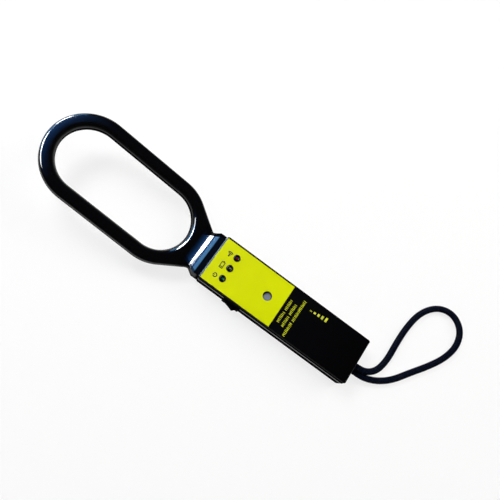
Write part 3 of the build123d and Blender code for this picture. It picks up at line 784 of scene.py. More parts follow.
@dataclass(frozen=True)
class LabelFilm(Finish):
    """Satin printed film with slow colour drift, ink mottle and specks of dust."""

    colour: Colour = (0.615, 0.675, 0.0002)
    drift: Colour = (0.66, 0.725, 0.0003)
    roughness: float = 0.42
    specular: float = 0.02
    slow: Clouds = Clouds(22.0, edges=(0.3, 0.7))
    slow_share: float = 0.8
    mottle: Clouds = Clouds(900.0, 3.0)
    mottle_share: float = 0.2
    mottle_wear: float = 0.12
    dust: Clouds = Clouds(1400.0, 1.0, edges=(0.76, 0.8))
    dust_shade: float = 0.55
    dust_tint: float = 0.25
    dust_wear: float = 0.2
    peel: Clouds = Clouds(1600.0)
    bump: Span = (0.1, 0.02 * MM)

    def paint(self, surface: Surface) -> None:
        """Drift, mottle and dust in the colour, a soft orange peel in the relief.

        Args:
            surface: the material in the making.
        """
        slow, mottle, dust = (surface.clouds(kind) for kind in (self.slow, self.mottle, self.dust))
        drifted = surface.blend(slow * self.slow_share + mottle * self.mottle_share, self.colour, self.drift)
        darker = tuple(self.dust_shade * c for c in self.colour)
        surface.tint(dust * self.dust_tint, drifted, darker)
        worn = mottle * self.mottle_wear + dust * self.dust_wear
        surface.roughen(worn + (self.roughness - self.mottle_wear / 2))
        surface.relief(surface.clouds(self.peel), *self.bump)
        surface.put(Specular_IOR_Level=self.specular)


@dataclass(frozen=True)
class PrintedInk(Finish):
    """Screen-printed ink with a slightly broken surface."""

    colour: Colour
    thin: Clouds = Clouds(2400.0, 3.0, edges=(0.55, 0.75))
    thin_tint: float = 0.5
    fading: float = 0.8
    paleness: float = 0.02
    mottle: Clouds = Clouds(1200.0)
    mottle_wear: float = 0.2
    roughness: float = 0.4
    specular: float = 0.08

    def paint(self, surface: Surface) -> None:
        """Thin spots in the colour and a mottled gloss.

        Args:
            surface: the material in the making.
        """
        lighter = tuple(self.fading * c + self.paleness for c in self.colour)
        surface.tint(surface.clouds(self.thin) * self.thin_tint, self.colour, lighter)
        surface.roughen(surface.clouds(self.mottle) * self.mottle_wear + self.roughness)
        surface.put(Specular_IOR_Level=self.specular)


@dataclass(frozen=True)
class LampLens(Finish):
    """Tinted resin lamp: bright over the die, dark towards its rim."""

    core: Colour
    rim: Colour
    centre: Point
    radius: float = 1.5 * MM
    swirl: Clouds = Clouds(1500.0)
    swirl_share: float = 0.25
    swirl_shift: float = 0.12
    fade: Span = (0.35, 1.0)
    smears: Clouds = Clouds(800.0)
    smear_wear: float = 0.08
    roughness: float = 0.08
    specular: float = 0.02
    gloss: float = 0.012
    skin: float = 0.05

    def paint(self, surface: Surface) -> None:
        """Fade from the core to the rim by distance from the lamp's axis, with flow lines in the resin.

        Args:
            surface: the material in the making.
        """
        swirl = surface.clouds(self.swirl) * self.swirl_share
        reach = surface.from_axis(self.centre) / self.radius + swirl - self.swirl_shift
        surface.tint(surface.ramp(reach, *self.fade), self.core, self.rim)
        surface.roughen(surface.clouds(self.smears) * self.smear_wear + self.roughness)
        surface.put(Specular_IOR_Level=self.specular, Coat_Weight=self.gloss, Coat_Roughness=self.skin)


@dataclass(frozen=True)
class SpunMetal(Finish):
    """Metal turned on a lathe, with fine rings round one axis, and a painted shadow along one side of its
    rim, where the hole's edge shades it.
    """

    colour: Colour
    centre: Point
    rings: float = 16000.0
    ring_wear: float = 0.1
    roughness: float = 0.5
    metallic: float = 0.25
    tarnish: Clouds = Clouds(260.0, 4.0)
    tarnish_shade: float = 0.6
    tarnish_wear: float = 0.16
    evenness: float = 0.12
    # Painted shadow: where the lit part's centre is shifted to, where the shadow sets in towards the rim, and
    # the shadow's colour
    lit_centre_shift: Point = (0.7 * MM, -0.2 * MM, 0.0)
    shadow_rim: Span = (3.8 * MM, 4.5 * MM)
    shadow_colour: Colour = (0.002, 0.002, 0.003)
    bump: Span = (0.15, 0.01 * MM)

    def paint(self, surface: Surface) -> None:
        """Rings in the relief and the gloss, slow tarnish, and a painted shadow along one side of the rim in
        the colour.

        Args:
            surface: the material in the making.
        """
        ring = (surface.from_axis(self.centre) * self.rings).ripple()
        tarnish = surface.clouds(self.tarnish)
        dull = tuple(self.tarnish_shade * c for c in self.colour)
        # Painted shadow: the colour goes dark towards the rim, round a centre shifted away from the side that
        # the hole's edge shades
        clean_and_lit = tuple(c + shift for c, shift in zip(self.centre, self.lit_centre_shift))
        rim = surface.step(surface.from_axis(clean_and_lit), *self.shadow_rim)
        surface.tint(rim, surface.blend(tarnish, self.colour, dull), self.shadow_colour)
        worn = ring * self.ring_wear + tarnish * self.tarnish_wear
        surface.roughen(worn + (self.roughness - self.evenness))
        surface.relief(ring, *self.bump)
        surface.put(Metallic=self.metallic)


@dataclass(frozen=True)
class PlatedMetal(Finish):
    """Plated or bare metal of small parts, a little tarnished."""

    colour: Colour = (0.5, 0.5, 0.52)
    roughness: float = 0.32
    tarnish: Clouds = Clouds(420.0, 4.0)
    tarnish_shade: float = 0.55
    tarnish_tint: float = 0.7
    tarnish_wear: float = 0.2
    marks: Clouds = Clouds(300.0, 3.0, (1.0, 14.0, 14.0))
    mark_wear: float = 0.1
    evenness: float = 0.12
    bump: Span = (0.12, 0.01 * MM)

    def paint(self, surface: Surface) -> None:
        """Tarnish in the colour and gloss, tool marks in the relief.

        Args:
            surface: the material in the making.
        """
        tarnish, marks = surface.clouds(self.tarnish), surface.clouds(self.marks)
        dull = tuple(self.tarnish_shade * c for c in self.colour)
        surface.tint(tarnish * self.tarnish_tint, self.colour, dull)
        worn = tarnish * self.tarnish_wear + marks * self.mark_wear
        surface.roughen(worn + (self.roughness - self.evenness))
        surface.relief(marks, *self.bump)
        surface.put(Metallic=1.0)


@dataclass(frozen=True)
class SoftSheath(Finish):
    """Rubber, cable sheath or shrink sleeve: matt, faintly dusty, with a soft grain."""

    colour: Colour = (0.006, 0.006, 0.007)
    dust: Colour = (0.02, 0.02, 0.022)
    roughness: float = 0.55
    specular: float = 0.3
    specks: Clouds = Clouds(160.0, 5.0, edges=(0.4, 0.8))
    speck_tint: float = 0.7
    speck_wear: float = 0.2
    evenness: float = 0.06
    grain: Clouds = Clouds(1900.0, 3.0)
    bump: Span = (0.3, 0.05 * MM)

    def paint(self, surface: Surface) -> None:
        """Dust in the colour, grain in the relief.

        Args:
            surface: the material in the making.
        """
        specks = surface.clouds(self.specks)
        surface.tint(specks * self.speck_tint, self.colour, self.dust)
        surface.roughen(specks * self.speck_wear + (self.roughness - self.evenness))
        surface.relief(surface.clouds(self.grain), *self.bump)
        surface.put(Specular_IOR_Level=self.specular)


@dataclass(frozen=True)
class BoardLaminate(Finish):
    """Green circuit board with copper tracks under its lacquer."""

    colour: Colour = (0.01, 0.11, 0.04)
    track: Colour = (0.03, 0.2, 0.08)
    drift: Clouds = Clouds(60.0, 0.0, (1.0, 9.0, 1.0))
    lines: float = 60.0
    line_edges: Span = (0.55, 0.65)
    lacquer: Clouds = Clouds(500.0)
    lacquer_wear: float = 0.15
    roughness: float = 0.22
    bump: Span = (0.2, 0.03 * MM)

    def paint(self, surface: Surface) -> None:
        """Tracks as broken lines along the board, and a glossy lacquer.

        Args:
            surface: the material in the making.
        """
        lines = surface.ramp((surface.clouds(self.drift) * self.lines).sine(), *self.line_edges)
        surface.tint(lines, self.colour, self.track)
        surface.roughen(surface.clouds(self.lacquer) * self.lacquer_wear + self.roughness)
        surface.relief(lines, *self.bump)


@dataclass(frozen=True)
class BraidedNylon(Finish):
    """Black nylon yarn with a blue cast, filaments along each strand and a soft sheen."""

    colour: Colour = (0.0002, 0.0008, 0.004)
    worn: Colour = (0.0005, 0.003, 0.014)
    filaments: float = 44.0
    straying: Clouds = Clouds(700.0)
    stray: float = 5.0
    fibre_tint: float = 0.35
    fibre_wear: float = 0.12
    fading: Clouds = Clouds(120.0, 4.0)
    fade_tint: float = 0.5
    fade_wear: float = 0.16
    roughness: float = 0.32
    specular: float = 0.02
    bump: Span = (0.35, 0.05 * MM)

    def paint(self, surface: Surface) -> None:
        """Filaments from the turn round each strand, and slow fading along the cord.

        Args:
            surface: the material in the making.
        """
        turn = surface.value("ShaderNodeAttribute", {"attribute_name": "yarn_turn"}, output="Fac")
        fibre = (turn * self.filaments + surface.clouds(self.straying) * self.stray).ripple()
        fade = surface.clouds(self.fading)
        surface.tint(fibre * self.fibre_tint + fade * self.fade_tint, self.colour, self.worn)
        surface.roughen(fibre * self.fibre_wear + fade * self.fade_wear + self.roughness)
        surface.relief(fibre, *self.bump)
        surface.put(Specular_IOR_Level=self.specular)


HEAD_PLASTIC = HeadPlastic("glossy_head_plastic", gloss=0.004, grain_strength=0.06)
TRAY_PLASTIC = RimmedPlastic("tray_plastic", gloss=0.006, rim=(13.9 * MM, 14.4 * MM), rim_gloss=1.0)
COVER_PLASTIC = RimmedPlastic("cover_plastic", gloss=0.005)
LIP_PLASTIC = MouldedPlastic("lip_plastic", gloss=0.4, specular=0.14)
BEAD_PLASTIC = MouldedPlastic("bead_plastic", gloss=0.5, skin=0.25)
SEAM_PLASTIC = MouldedPlastic("seam_plastic", gloss=0.06, skin=0.2)
SWITCH_PLASTIC = MouldedPlastic("switch_nylon")
BEZEL_PLASTIC = MouldedPlastic("bezel_skin", gloss=0.25)
YELLOW_FILM = LabelFilm("yellow_film")
BLACK_FILM = LabelFilm("black_film", (0.0003, 0.0003, 0.0004), (0.0006, 0.0006, 0.0008), 0.4)
DARK_INK = PrintedInk("dark_ink", (0.012, 0.01, 0.014))
YELLOW_INK = PrintedInk("yellow_ink", (0.62, 0.66, 0.01))
SOUNDER_METAL = SpunMetal("sounder_diaphragm", (0.105, 0.12, 0.14), tuple(middle("sounder_disc")))
STEEL = PlatedMetal("zinc_plate")
BRASS = PlatedMetal("bright_brass", (0.6, 0.44, 0.16), 0.28)
COPPER = PlatedMetal("coil_copper", (0.4, 0.16, 0.06), 0.35)
BATTERY_JACKET = PlatedMetal("battery_jacket", (0.2, 0.21, 0.23), 0.4)
BLACK_SHEATH = SoftSheath("black_sheath")
RED_SHEATH = SoftSheath("red_sheath", (0.35, 0.012, 0.012), (0.4, 0.05, 0.05))
GROMMET_RUBBER = SoftSheath("soft_rubber", (0.004, 0.004, 0.005), (0.012, 0.012, 0.014), 0.5)
CHIP_RESIN = SoftSheath("chip_resin", (0.012, 0.012, 0.013), (0.03, 0.03, 0.032), 0.5)
SLEEVED_CAN = SoftSheath("sleeved_can", (0.03, 0.04, 0.09), (0.08, 0.09, 0.13), 0.35)
SOUNDER_RESIN = SoftSheath("sounder_resin", (0.01, 0.01, 0.011), (0.02, 0.02, 0.022), 0.4)
LAMINATE = BoardLaminate("board_laminate")
BRAID = BraidedNylon("braided_nylon")

Dressing = tuple[tuple[Finish, tuple[str, ...]], ...]


# Sub-assemblies


@dataclass
class Assembly:
    """A group of pieces that are built and dressed together."""

    finishes: Dressing = ()

    def build(self) -> list[Piece]:
        """Make the group's new pieces, if it has any."""
        return []

    def dress(self) -> None:
        """Give the group's CAD solids their finishes."""
        for finish, nodes in self.finishes:
            finish.dress_nodes(*nodes)


@dataclass
class CaseBox(Assembly):
    """The handle box, with the bead along its parting line, its front lip, its far ledge and two gaskets.

    Sections, the ledge's ends and the gaskets' feet and tops are in millimetres. A gasket's side is -1 near
    the switch and 1 away from it.
    """

    front: float = BOX_FRONT
    rear: float = BOX_REAR
    half_width: float = 26.1 * MM
    inset: float = 0.15 * MM
    corner: float = 2.0 * MM
    corner_steps: int = 8
    parting: float = 16.8 * MM
    bead_radius: float = 0.34 * MM
    lip_half_length: float = 24.4 * MM
    lip_section: Section = ((-0.05, -0.4), (1.3, 0.28), (1.3, -0.2), (0.4, -0.6))
    gasket_section: Section = ((-0.3, 23.0), (1.7, 23.0), (1.7, 25.4), (-0.3, 25.2))
    gasket_foot: float = 3.0
    gasket_tops: tuple[tuple[str, float, float], ...] = (
        ("gasket_near", -1.0, 23.5),
        ("gasket_far", 1.0, 18.0),
    )
    ledge_ends: Section = ((0.4, -1.2), (1.0, -0.5), (2.2, 0.0))
    ledge_section: Section = ((-0.9, -0.05), (0.9, -0.1), (0.9, -0.9), (-0.1, -2.0))
    finishes: Dressing = (
        (TRAY_PLASTIC, ("case_tray", "battery_door")),
        (COVER_PLASTIC, ("case_cover",)),
        (STEEL, ("case_screws", "head_screws", "board_screws")),
    )

    def bead(self) -> Piece:
        """The bead round the box, where tray and cover meet.

        Returns:
            The bead.
        """
        ahead, behind = self.front + self.inset + self.corner, self.rear - self.inset - self.corner
        side = self.half_width - self.corner
        corners = ((behind, side, 0.0), (ahead, side, 90.0), (ahead, -side, 180.0), (behind, -side, 270.0))
        outline = [
            place for x, y, turn in corners
            for place in Shape.arc((x, y, self.parting), self.corner, turn, turn + 90.0, self.corner_steps)
        ]
        return Shape.bead("parting_bead", [Chain(outline, True)], self.bead_radius, BEAD_PLASTIC)

    def lip(self) -> Piece:
        """The sloping lip along the cover's front edge, before the label.

        Returns:
            The lip.
        """
        top, half = high("case_cover").z, self.lip_half_length
        rings = [[(self.front + x * MM, y, top + z * MM) for x, z in self.lip_section] for y in (-half, half)]
        return Shape.strip("front_lip", rings, LIP_PLASTIC)

    def ledge(self) -> Piece:
        """The narrow ledge along the cover's far edge, beside the label, turned in at its ends.

        Returns:
            The ledge.
        """
        _, side, top = high("case_cover")
        stations = [(self.front + inset * MM, turn * MM) for inset, turn in self.ledge_ends]
        stations += [(self.rear - inset * MM, turn * MM) for inset, turn in reversed(self.ledge_ends)]
        rings = [
            [(x, side + turn + y * MM, top + z * MM) for y, z in self.ledge_section] for x, turn in stations
        ]
        return Shape.strip("far_ledge", rings, COVER_PLASTIC)

    def gaskets(self) -> list[Piece]:
        """Two upright strips that close the grooves between the collar and the box's front corners.

        Returns:
            The near one and the far one.
        """
        pieces = []
        for name, way, top in self.gasket_tops:
            rings = [
                [(self.front + x * MM, way * y * MM, z * MM) for x, y in self.gasket_section]
                for z in (self.gasket_foot, top)
            ]
            pieces.append(Shape.strip(name, rings, COVER_PLASTIC))
        return pieces

    def build(self) -> list[Piece]:
        """Lay the bead, the lip, the ledge and the gaskets."""
        pieces = (self.bead(), self.lip(), self.ledge(), *self.gaskets())
        return [ride(piece, Body.ROOT, "case_plastic") for piece in pieces]


@dataclass
class SearchHead(Assembly):
    """The glossy search loop with its neck and collar, and the seam where its two halves meet."""

    near_centre: float = 67.5 * MM
    straight: float = 87.3 * MM
    loop_radius: float = 39.9 * MM
    tube_width: float = 14.8 * MM
    taper_deg: float = 33.0
    taper_length: float = 27.0 * MM
    seam_radius: float = 0.22 * MM
    opening_steps: int = 40
    shoulder_steps: int = 12
    tip_steps: int = 48
    finishes: Dressing = (
        (HEAD_PLASTIC, ("head_upper_shell", "head_lower_shell")),
        (COPPER, ("search_coil",)),
        (BLACK_SHEATH, ("coil_lead",)),
    )

    def tilted(self, places: Sequence[Point]) -> list[Point]:
        """Places in the head's own plane, counted forwards from the box, brought into the frame."""
        x, y, z = HEAD_ROOT
        return [(x - u * math.cos(HEAD_PITCH), y + v, z + u * math.sin(HEAD_PITCH)) for u, v, _ in places]

    def outlines(self) -> tuple[list[Point], list[Point]]:
        """The seam's two runs: round the opening, and round the outside from cheek to cheek.

        Returns:
            The closed inner run and the open outer run, in the head's own plane.
        """
        near, far = (self.near_centre, 0.0, 0.0), (self.near_centre + self.straight, 0.0, 0.0)
        inner, outer = (self.loop_radius + way * self.tube_width / 2 for way in (-1, 1))
        opening = Shape.arc(far, inner, -90.0, 90.0, self.opening_steps)
        opening += Shape.arc(near, inner, 90.0, 270.0, self.opening_steps)
        shoulder = Shape.arc(near, outer, 90.0 + self.taper_deg, 90.0, self.shoulder_steps)
        lean = math.radians(self.taper_deg)
        u, v, _ = shoulder[0]
        cheek = (u - self.taper_length * math.cos(lean), v - self.taper_length * math.sin(lean), 0.0)
        side = [cheek, *shoulder]
        tip = Shape.arc(far, outer, 90.0, -90.0, self.tip_steps)
        return opening, side + tip + [(u, -v, w) for u, v, w in reversed(side)]

    def build(self) -> list[Piece]:
        """Run the seam round the loop.

        Returns:
            The seam.
        """
        opening, outside = (self.tilted(run) for run in self.outlines())
        chains = [Chain(opening, True), Chain(outside)]
        seam = Shape.bead("head_seam", chains, self.seam_radius, SEAM_PLASTIC)
        return [ride(seam, Body.ROOT, "head_plastic")]


@dataclass
class FaceLabel(Assembly):
    """The two-coloured label with its printed marks.

    Places on the label are stations from its front edge and distances from its middle, in millimetres. An arc
    is its first and last bearing and its steps. A short stroke and a bar's place are shares of half a mark's
    height, and the gap between groups is a share of the marks' pitch.
    """

    front: float = LABEL_FRONT
    top: float = LABEL_TOP
    ink: float = 0.05 * MM
    mark_height: float = 3.3 * MM
    mark_width: float = 1.8 * MM
    mark_pitch: float = 3.22 * MM
    mark_line: float = 0.6 * MM
    short_stroke: float = 0.7
    bar_places: Span = (-0.1, 0.55)
    group_gap: float = 0.6
    rows: tuple[tuple[float, float, tuple[int, ...]], ...] = (
        (90.1, -15.0, (4, 4)),
        (96.4, -16.2, (4, 4)),
        (102.6, -23.3, (5, 8)),
    )
    sign_station: float = 10.7
    sign_places: tuple[float, float, float] = (-14.4, -1.4, 12.5)
    sign_line: float = 1.1 * MM
    power_radius: float = 2.0 * MM
    power_arc: Sweep = (215.0, 505.0, 24)
    power_stem: Section = ((0.0, 0.3), (0.0, 2.6))
    battery_case: Section = ((-3.6, -1.7), (2.9, -1.7), (2.9, 1.7), (-3.6, 1.7))
    battery_nub: Section = ((3.7, -0.8), (3.7, 0.8))
    battery_charge: Section = ((-2.1, -0.9), (-2.1, 0.9))
    sound_start: float = -2.4
    sound_radii: tuple[float, ...] = (1.6, 3.1, 4.6)
    sound_arc: Sweep = (52.0, 128.0, 10)
    spot_radius: float = 0.35 * MM
    spot_arc: Sweep = (0.0, 315.0, 7)
    level_station: float = 113.0
    level_foot: float = 14.2
    level_pitch: float = 4.6
    level_heights: tuple[float, ...] = (1.2, 2.1, 3.0, 3.9, 4.8)
    level_line: float = 2.4 * MM
    finishes: Dressing = ((YELLOW_FILM, ("label_yellow",)), (BLACK_FILM, ("label_black",)))

    def at(self, station: float, y: float, across: float = 0.0, up: float = 0.0) -> Point:
        """A point on the label, moved across to the far side and up towards the head."""
        return (self.front + (station - up) * MM, (y + across) * MM, self.top)

    def marks(self) -> list[Chain]:
        """Rows of paired strokes, every third pair shorter, every other one with a bar, low and high in turn.

        Returns:
            The strokes and the bars.
        """
        half, wide = self.mark_height / 2, self.mark_width
        low_bar, high_bar = self.bar_places
        lines: list[tuple[Point, Point]] = []
        for station, start, groups in self.rows:
            x, y = self.front + station * MM, start * MM
            for count in groups:
                for turn in range(count):
                    foot = x - half * (1.0 if turn % 3 else self.short_stroke)
                    for side in (y, y + wide):
                        lines.append(((foot, side, self.top), (x + half, side, self.top)))
                    if turn % 2 == 0:
                        bar = x + (high_bar if turn % 4 else low_bar) * half
                        lines.append(((bar, y, self.top), (bar, y + wide, self.top)))
                    y += self.mark_pitch
                y += self.group_gap * self.mark_pitch
        return [Chain(line) for line in lines]

    def signs(self) -> list[Chain]:
        """Outlines of a power sign, a battery and sound waves, one before each lamp.

        Returns:
            The outlines.
        """
        power, battery, sound = self.sign_places
        ring = Shape.arc(self.at(self.sign_station, power), self.power_radius, *self.power_arc)
        stem = [self.at(self.sign_station, power, *end) for end in self.power_stem]
        case, nub, charge = (
            [self.at(self.sign_station, battery, *end) for end in part]
            for part in (self.battery_case, self.battery_nub, self.battery_charge)
        )
        horn = self.at(self.sign_station, sound, self.sound_start)
        waves = [Chain(Shape.arc(horn, radius * MM, *self.sound_arc)) for radius in self.sound_radii]
        spot = Shape.arc(horn, self.spot_radius, *self.spot_arc)
        battery_lines = [Chain(case, True), Chain(nub), Chain(charge)]
        return [Chain(ring), Chain(stem), *battery_lines, *waves, Chain(spot, True)]

    def levels(self) -> list[Chain]:
        """Five rising level bars.

        Returns:
            The bars.
        """
        chains = []
        for number, height in enumerate(self.level_heights):
            station = self.level_station + number * self.level_pitch
            chains.append(Chain([self.at(station, self.level_foot, rise) for rise in (0.0, height)]))
        return chains

    def printed(self, name: str, chains: Sequence[Chain], line: float, finish: PrintedInk) -> Piece:
        """Lay flat strokes of ink along chains of points.

        Args:
            name: the piece's name.
            chains: the rows of points.
            line: the strokes' width in metres.
            finish: the ink.

        Returns:
            The print as one mesh.
        """
        work = Pattern(f"{name}_strokes", {"Line": line, "Ink": self.ink})
        section = work.value("GeometryNodeCurvePrimitiveQuadrilateral", {"mode": "RECTANGLE"}, {
            "Width": work.size("Line"), "Height": work.size("Ink") * 2.0})
        strokes = work.sweep(work.upright(work.lines()), section)
        return work.run(Shape.chains(f"{name}_path", chains), strokes, finish, name)

    def build(self) -> list[Piece]:
        """Print the marks, the signs and the level bars.

        Returns:
            The printed pieces.
        """
        prints = (
            ("label_marks", self.marks(), self.mark_line, YELLOW_INK, "label_yellow"),
            ("lamp_signs", self.signs(), self.sign_line, DARK_INK, "label_black"),
            ("level_bars", self.levels(), self.level_line, YELLOW_INK, "label_yellow"),
        )
        return [ride(self.printed(*given), Body.ROOT, slot) for *given, slot in prints]


@dataclass
class SignalLamps(Assembly):
    """Three lamps in rounded black bezels."""

    top: float = LABEL_TOP
    ring_radius: float = 2.55 * MM
    ring_half_width: float = 1.2 * MM
    ring_height: float = 1.1 * MM
    sides: int = 56
    edge_sides: int = 24
    tints: dict[str, tuple[Colour, Colour]] = field(default_factory=lambda: {
        "green": ((0.003, 0.17, 0.055), (0.002, 0.016, 0.008)),
        "amber": ((0.19, 0.21, 0.045), (0.016, 0.018, 0.003)),
        "red": ((0.22, 0.006, 0.011), (0.022, 0.002, 0.003)),
    })

    def build(self) -> list[Piece]:
        """Turn one bezel and set it round each lamp.

        Returns:
            The bezels as one piece.
        """
        places = [Chain([(*middle(f"lamp_{tint}").xy, self.top)]) for tint in self.tints]
        work = Pattern("lamp_bezels", {
            "Ring": self.ring_radius, "Half width": self.ring_half_width, "Height": self.ring_height,
            "Sides": self.sides, "Edge sides": self.edge_sides})
        path = work.upright(work.circle(work.size("Sides"), work.size("Ring")))
        flat = work.value("ShaderNodeCombineXYZ", None, {
            "X": work.size("Half width"), "Y": work.size("Height"), "Z": 1.0})
        edge = work.value("GeometryNodeTransform", None, {
            "Geometry": work.circle(work.size("Edge sides"), 1.0), "Scale": flat})
        spread = work.value("GeometryNodeInstanceOnPoints", None, {
            "Points": work.base, "Instance": work.smooth(work.sweep(path, edge))})
        piece = work.run(Shape.chains("lamp_places", places), spread, BEZEL_PLASTIC, "lamp_bezels")
        return [ride(piece, Body.ROOT, "bezel_plastic", [f"lamp_bezel_{tint}" for tint in self.tints])]

    def dress(self) -> None:
        """Tint each lamp."""
        for tint, (core, rim) in self.tints.items():
            LampLens(f"lens_{tint}", core, rim, tuple(middle(f"lamp_{tint}"))).dress_nodes(f"lamp_{tint}")


@dataclass
class Sounder(Assembly):
    """The sounder behind the round hole in the label."""

    finishes: Dressing = ((SOUNDER_METAL, ("sounder_disc",)), (SOUNDER_RESIN, ("sounder_body",)))


@dataclass
class RockerSwitch(Assembly):
    """The rocker switch in the near side."""

    edge: float = 0.3 * MM
    parts: tuple[tuple[str, str, Body], ...] = (
        ("switch_rocker", "rocker_paddle", Body.ROCKER),
        ("switch_body", "switch_frame", Body.ROOT),
    )

    def build(self) -> list[Piece]:
        """Ease the edges of the rocker and its frame.

        Returns:
            The two pieces.
        """
        pieces = []
        for node, name, body in self.parts:
            piece = Shape.eased(node, name, self.edge)
            SWITCH_PLASTIC.dress(piece)
            pieces.append(ride(piece, body, "switch_plastic", [node]))
        return pieces


@dataclass
class Insides(Assembly):
    """Board, battery, leads and socket inside the box."""

    finishes: Dressing = (
        (LAMINATE, ("main_board",)),
        (CHIP_RESIN, ("detector_chip", "driver_chip", "battery_snap", "charge_socket")),
        (SLEEVED_CAN, ("board_capacitors", "board_resistors")),
        (BRASS, ("switch_terminals", "charge_pin")),
        (BLACK_SHEATH, ("battery_lead_black", "switch_leads", "charge_leads")),
        (RED_SHEATH, ("battery_lead_red",)),
        (BATTERY_JACKET, ("battery",)),
    )


@dataclass
class WristCord(Assembly):
    """The braided wrist cord, both of whose legs leave through one grommet.

    The route's points are stations from the label's front edge, distances from the middle and heights, in
    millimetres. On the floor it lies up to 0.75 mm above the solid's line, because the braid is thicker.
    """

    exit_x: float = high("cord_grommet").x
    label_front: float = LABEL_FRONT
    length: float = 0.3407
    diameter: float = 5.9 * MM
    strands: int = 6
    strand_sides: int = 6
    strand_radius: float = 0.76 * MM
    strand_lift: float = 2.78 * MM
    core_sides: int = 16
    weave: float = 0.26 * MM
    braid_pitch: float = 15.0 * MM
    samples: int = 760
    line_steps: int = 16
    line_order: int = 3
    knot_radius: float = 3.0 * MM
    knot_turns: float = 1.5
    knot_steps: int = 12
    knot_samples: int = 150
    knot_lift: float = 1.9 * MM
    route: tuple[Point, ...] = (
        (194.5, -1.35, 11.9),
        (205.0, 3.2, 8.4),
        (213.5, 13.0, 4.2),
        (216.8, 29.0, 3.75),
        (216.4, 49.0, 3.75),
        (217.4, 71.0, 3.75),
        (222.5, 94.5, 3.75),
        (236.5, 112.5, 3.75),
        (256.0, 118.0, 3.75),
        (273.0, 108.5, 3.75),
        (278.5, 90.0, 3.75),
        (273.0, 69.5, 3.75),
        (260.5, 49.5, 3.75),
        (246.0, 31.0, 3.75),
        (233.0, 13.0, 3.75),
        (219.0, 1.6, 4.0),
        (205.5, -4.2, 5.8),
        (194.5, -5.95, 7.9),
    )
    finishes: Dressing = ((GROMMET_RUBBER, ("cord_grommet",)),)

    def spline(self, name: str, controls: Sequence[Point]) -> Mesh:
        """A smooth line as a chain of points.

        Args:
            name: the line's name.
            controls: the points that shape it, in metres.

        Returns:
            A mesh of points and edges.
        """
        curve = bpy.data.curves.new(name, "CURVE")
        curve.dimensions = "3D"
        curve.resolution_u = self.line_steps
        line = curve.splines.new("NURBS")
        line.points.add(len(controls) - 1)
        for point, place in zip(line.points, controls):
            point.co = (*place, 1.0)
        line.order_u = self.line_order
        line.use_endpoint_u = True
        carrier = bpy.data.objects.new(name, curve)
        bpy.context.scene.collection.objects.link(carrier)
        mesh = Shape.baked(carrier)
        bpy.data.objects.remove(carrier)
        return mesh

    def ends(self) -> tuple[Point, Point]:
        """Where the two legs leave the grommet, in line with the route's ends."""
        first, last = ((self.exit_x, y * MM, z * MM) for _, y, z in (self.route[0], self.route[-1]))
        return first, last

    def centre_line(self) -> Mesh:
        """The cord's line from leg to leg.

        Returns:
            The line's points and edges.
        """
        first, last = self.ends()
        route = [(self.label_front + s * MM, y * MM, z * MM) for s, y, z in self.route]
        return self.spline("cord_route", [first, *route, last])

    def knot_line(self) -> Mesh:
        """The line of the knot inside: in by one leg, round in a coil, and out by the other.

        Returns:
            The line's points and edges.
        """
        first, last = self.ends()
        centre = middle("cord_knot")
        inner = low("cord_knot").x + self.diameter / 2
        start, mouth = BOX_REAR - 2.0 * self.diameter, BOX_REAR - self.diameter
        coil = []
        for step in range(self.knot_steps + 1):
            share = step / self.knot_steps
            bearing = FULL_TURN * self.knot_turns * share
            coil.append((
                start + (inner - start) * share,
                centre.y + self.knot_radius * math.cos(bearing),
                centre.z + self.knot_radius * math.sin(bearing),
            ))
        return self.spline("knot_route", [first, (mouth, *first[1:]), *coil, (mouth, *last[1:]), last])

    def braid(self, line: Mesh, name: str, samples: int, lift: float) -> Piece:
        """Weave yarn strands round a line.

        Args:
            line: a chain of points.
            name: the piece's name.
            samples: points along each strand.
            lift: distance of the strands' middles from the line, in metres.

        Returns:
            The braided cord as one mesh.
        """
        work = Pattern(f"{name}_braid", {
            "Strands": self.strands, "Samples": samples, "Strand radius": self.strand_radius, "Lift": lift,
            "Weave": self.weave, "Pitch": self.braid_pitch, "Strand sides": self.strand_sides,
            "Core sides": self.core_sides})
        even = work.value("GeometryNodeResampleCurve", {"mode": "COUNT"}, {
            "Curve": work.lines(), "Count": work.size("Samples")})
        copies = work.node("GeometryNodeDuplicateElements", {"domain": "SPLINE"}, {
            "Geometry": even, "Amount": work.size("Strands") * 2.0})
        number = Value(work, copies.outputs["Duplicate Index"])
        # The second half of the strands winds the other way
        way = 1.0 - number.above(self.strands - 0.5) * 2.0
        run = work.value("GeometryNodeSplineParameter", output="Length")
        turn = run / work.size("Pitch") * way + number / work.size("Strands")
        angle = turn * FULL_TURN
        over = (angle * work.size("Strands")).cosine() * way
        reach = over * work.size("Weave") + work.size("Lift")
        normal = work.value("GeometryNodeInputNormal")
        side = work.vector("CROSS_PRODUCT", work.value("GeometryNodeInputTangent"), normal)
        outwards = work.scaled(normal, angle.cosine() * reach)
        sideways = work.scaled(side, angle.sine() * reach)
        moved = work.value("GeometryNodeSetPosition", None, {
            "Geometry": Value(work, copies.outputs["Geometry"]),
            "Offset": work.vector("ADD", outwards, sideways)})
        section = work.value("GeometryNodeStoreNamedAttribute", {"data_type": "FLOAT", "domain": "POINT"}, {
            "Geometry": work.circle(work.size("Strand sides"), work.size("Strand radius")),
            "Name": "yarn_turn", "Value": work.value("GeometryNodeSplineParameter")})
        yarn = work.sweep(moved, section)
        core = work.sweep(even, work.circle(work.size("Core sides"), work.size("Lift")))
        return work.run(line, work.smooth(work.join(yarn, core)), BRAID, name)

    def build(self) -> list[Piece]:
        """Returns:
            The cord and the knot.
        """
        line = self.centre_line()
        path = [tuple(v.co) for v in line.vertices]
        cord = self.braid(line, "braided_cord", self.samples, self.strand_lift)
        knot = self.braid(self.knot_line(), "cord_end_knot", self.knot_samples, self.knot_lift)
        ride(cord, Body.ROOT, "cord_braid", ["wrist_cord"])
        ride(knot, Body.ROOT, "cord_braid", ["cord_knot"])
        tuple(self.ends()[0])
        return [cord, knot]


# Studio


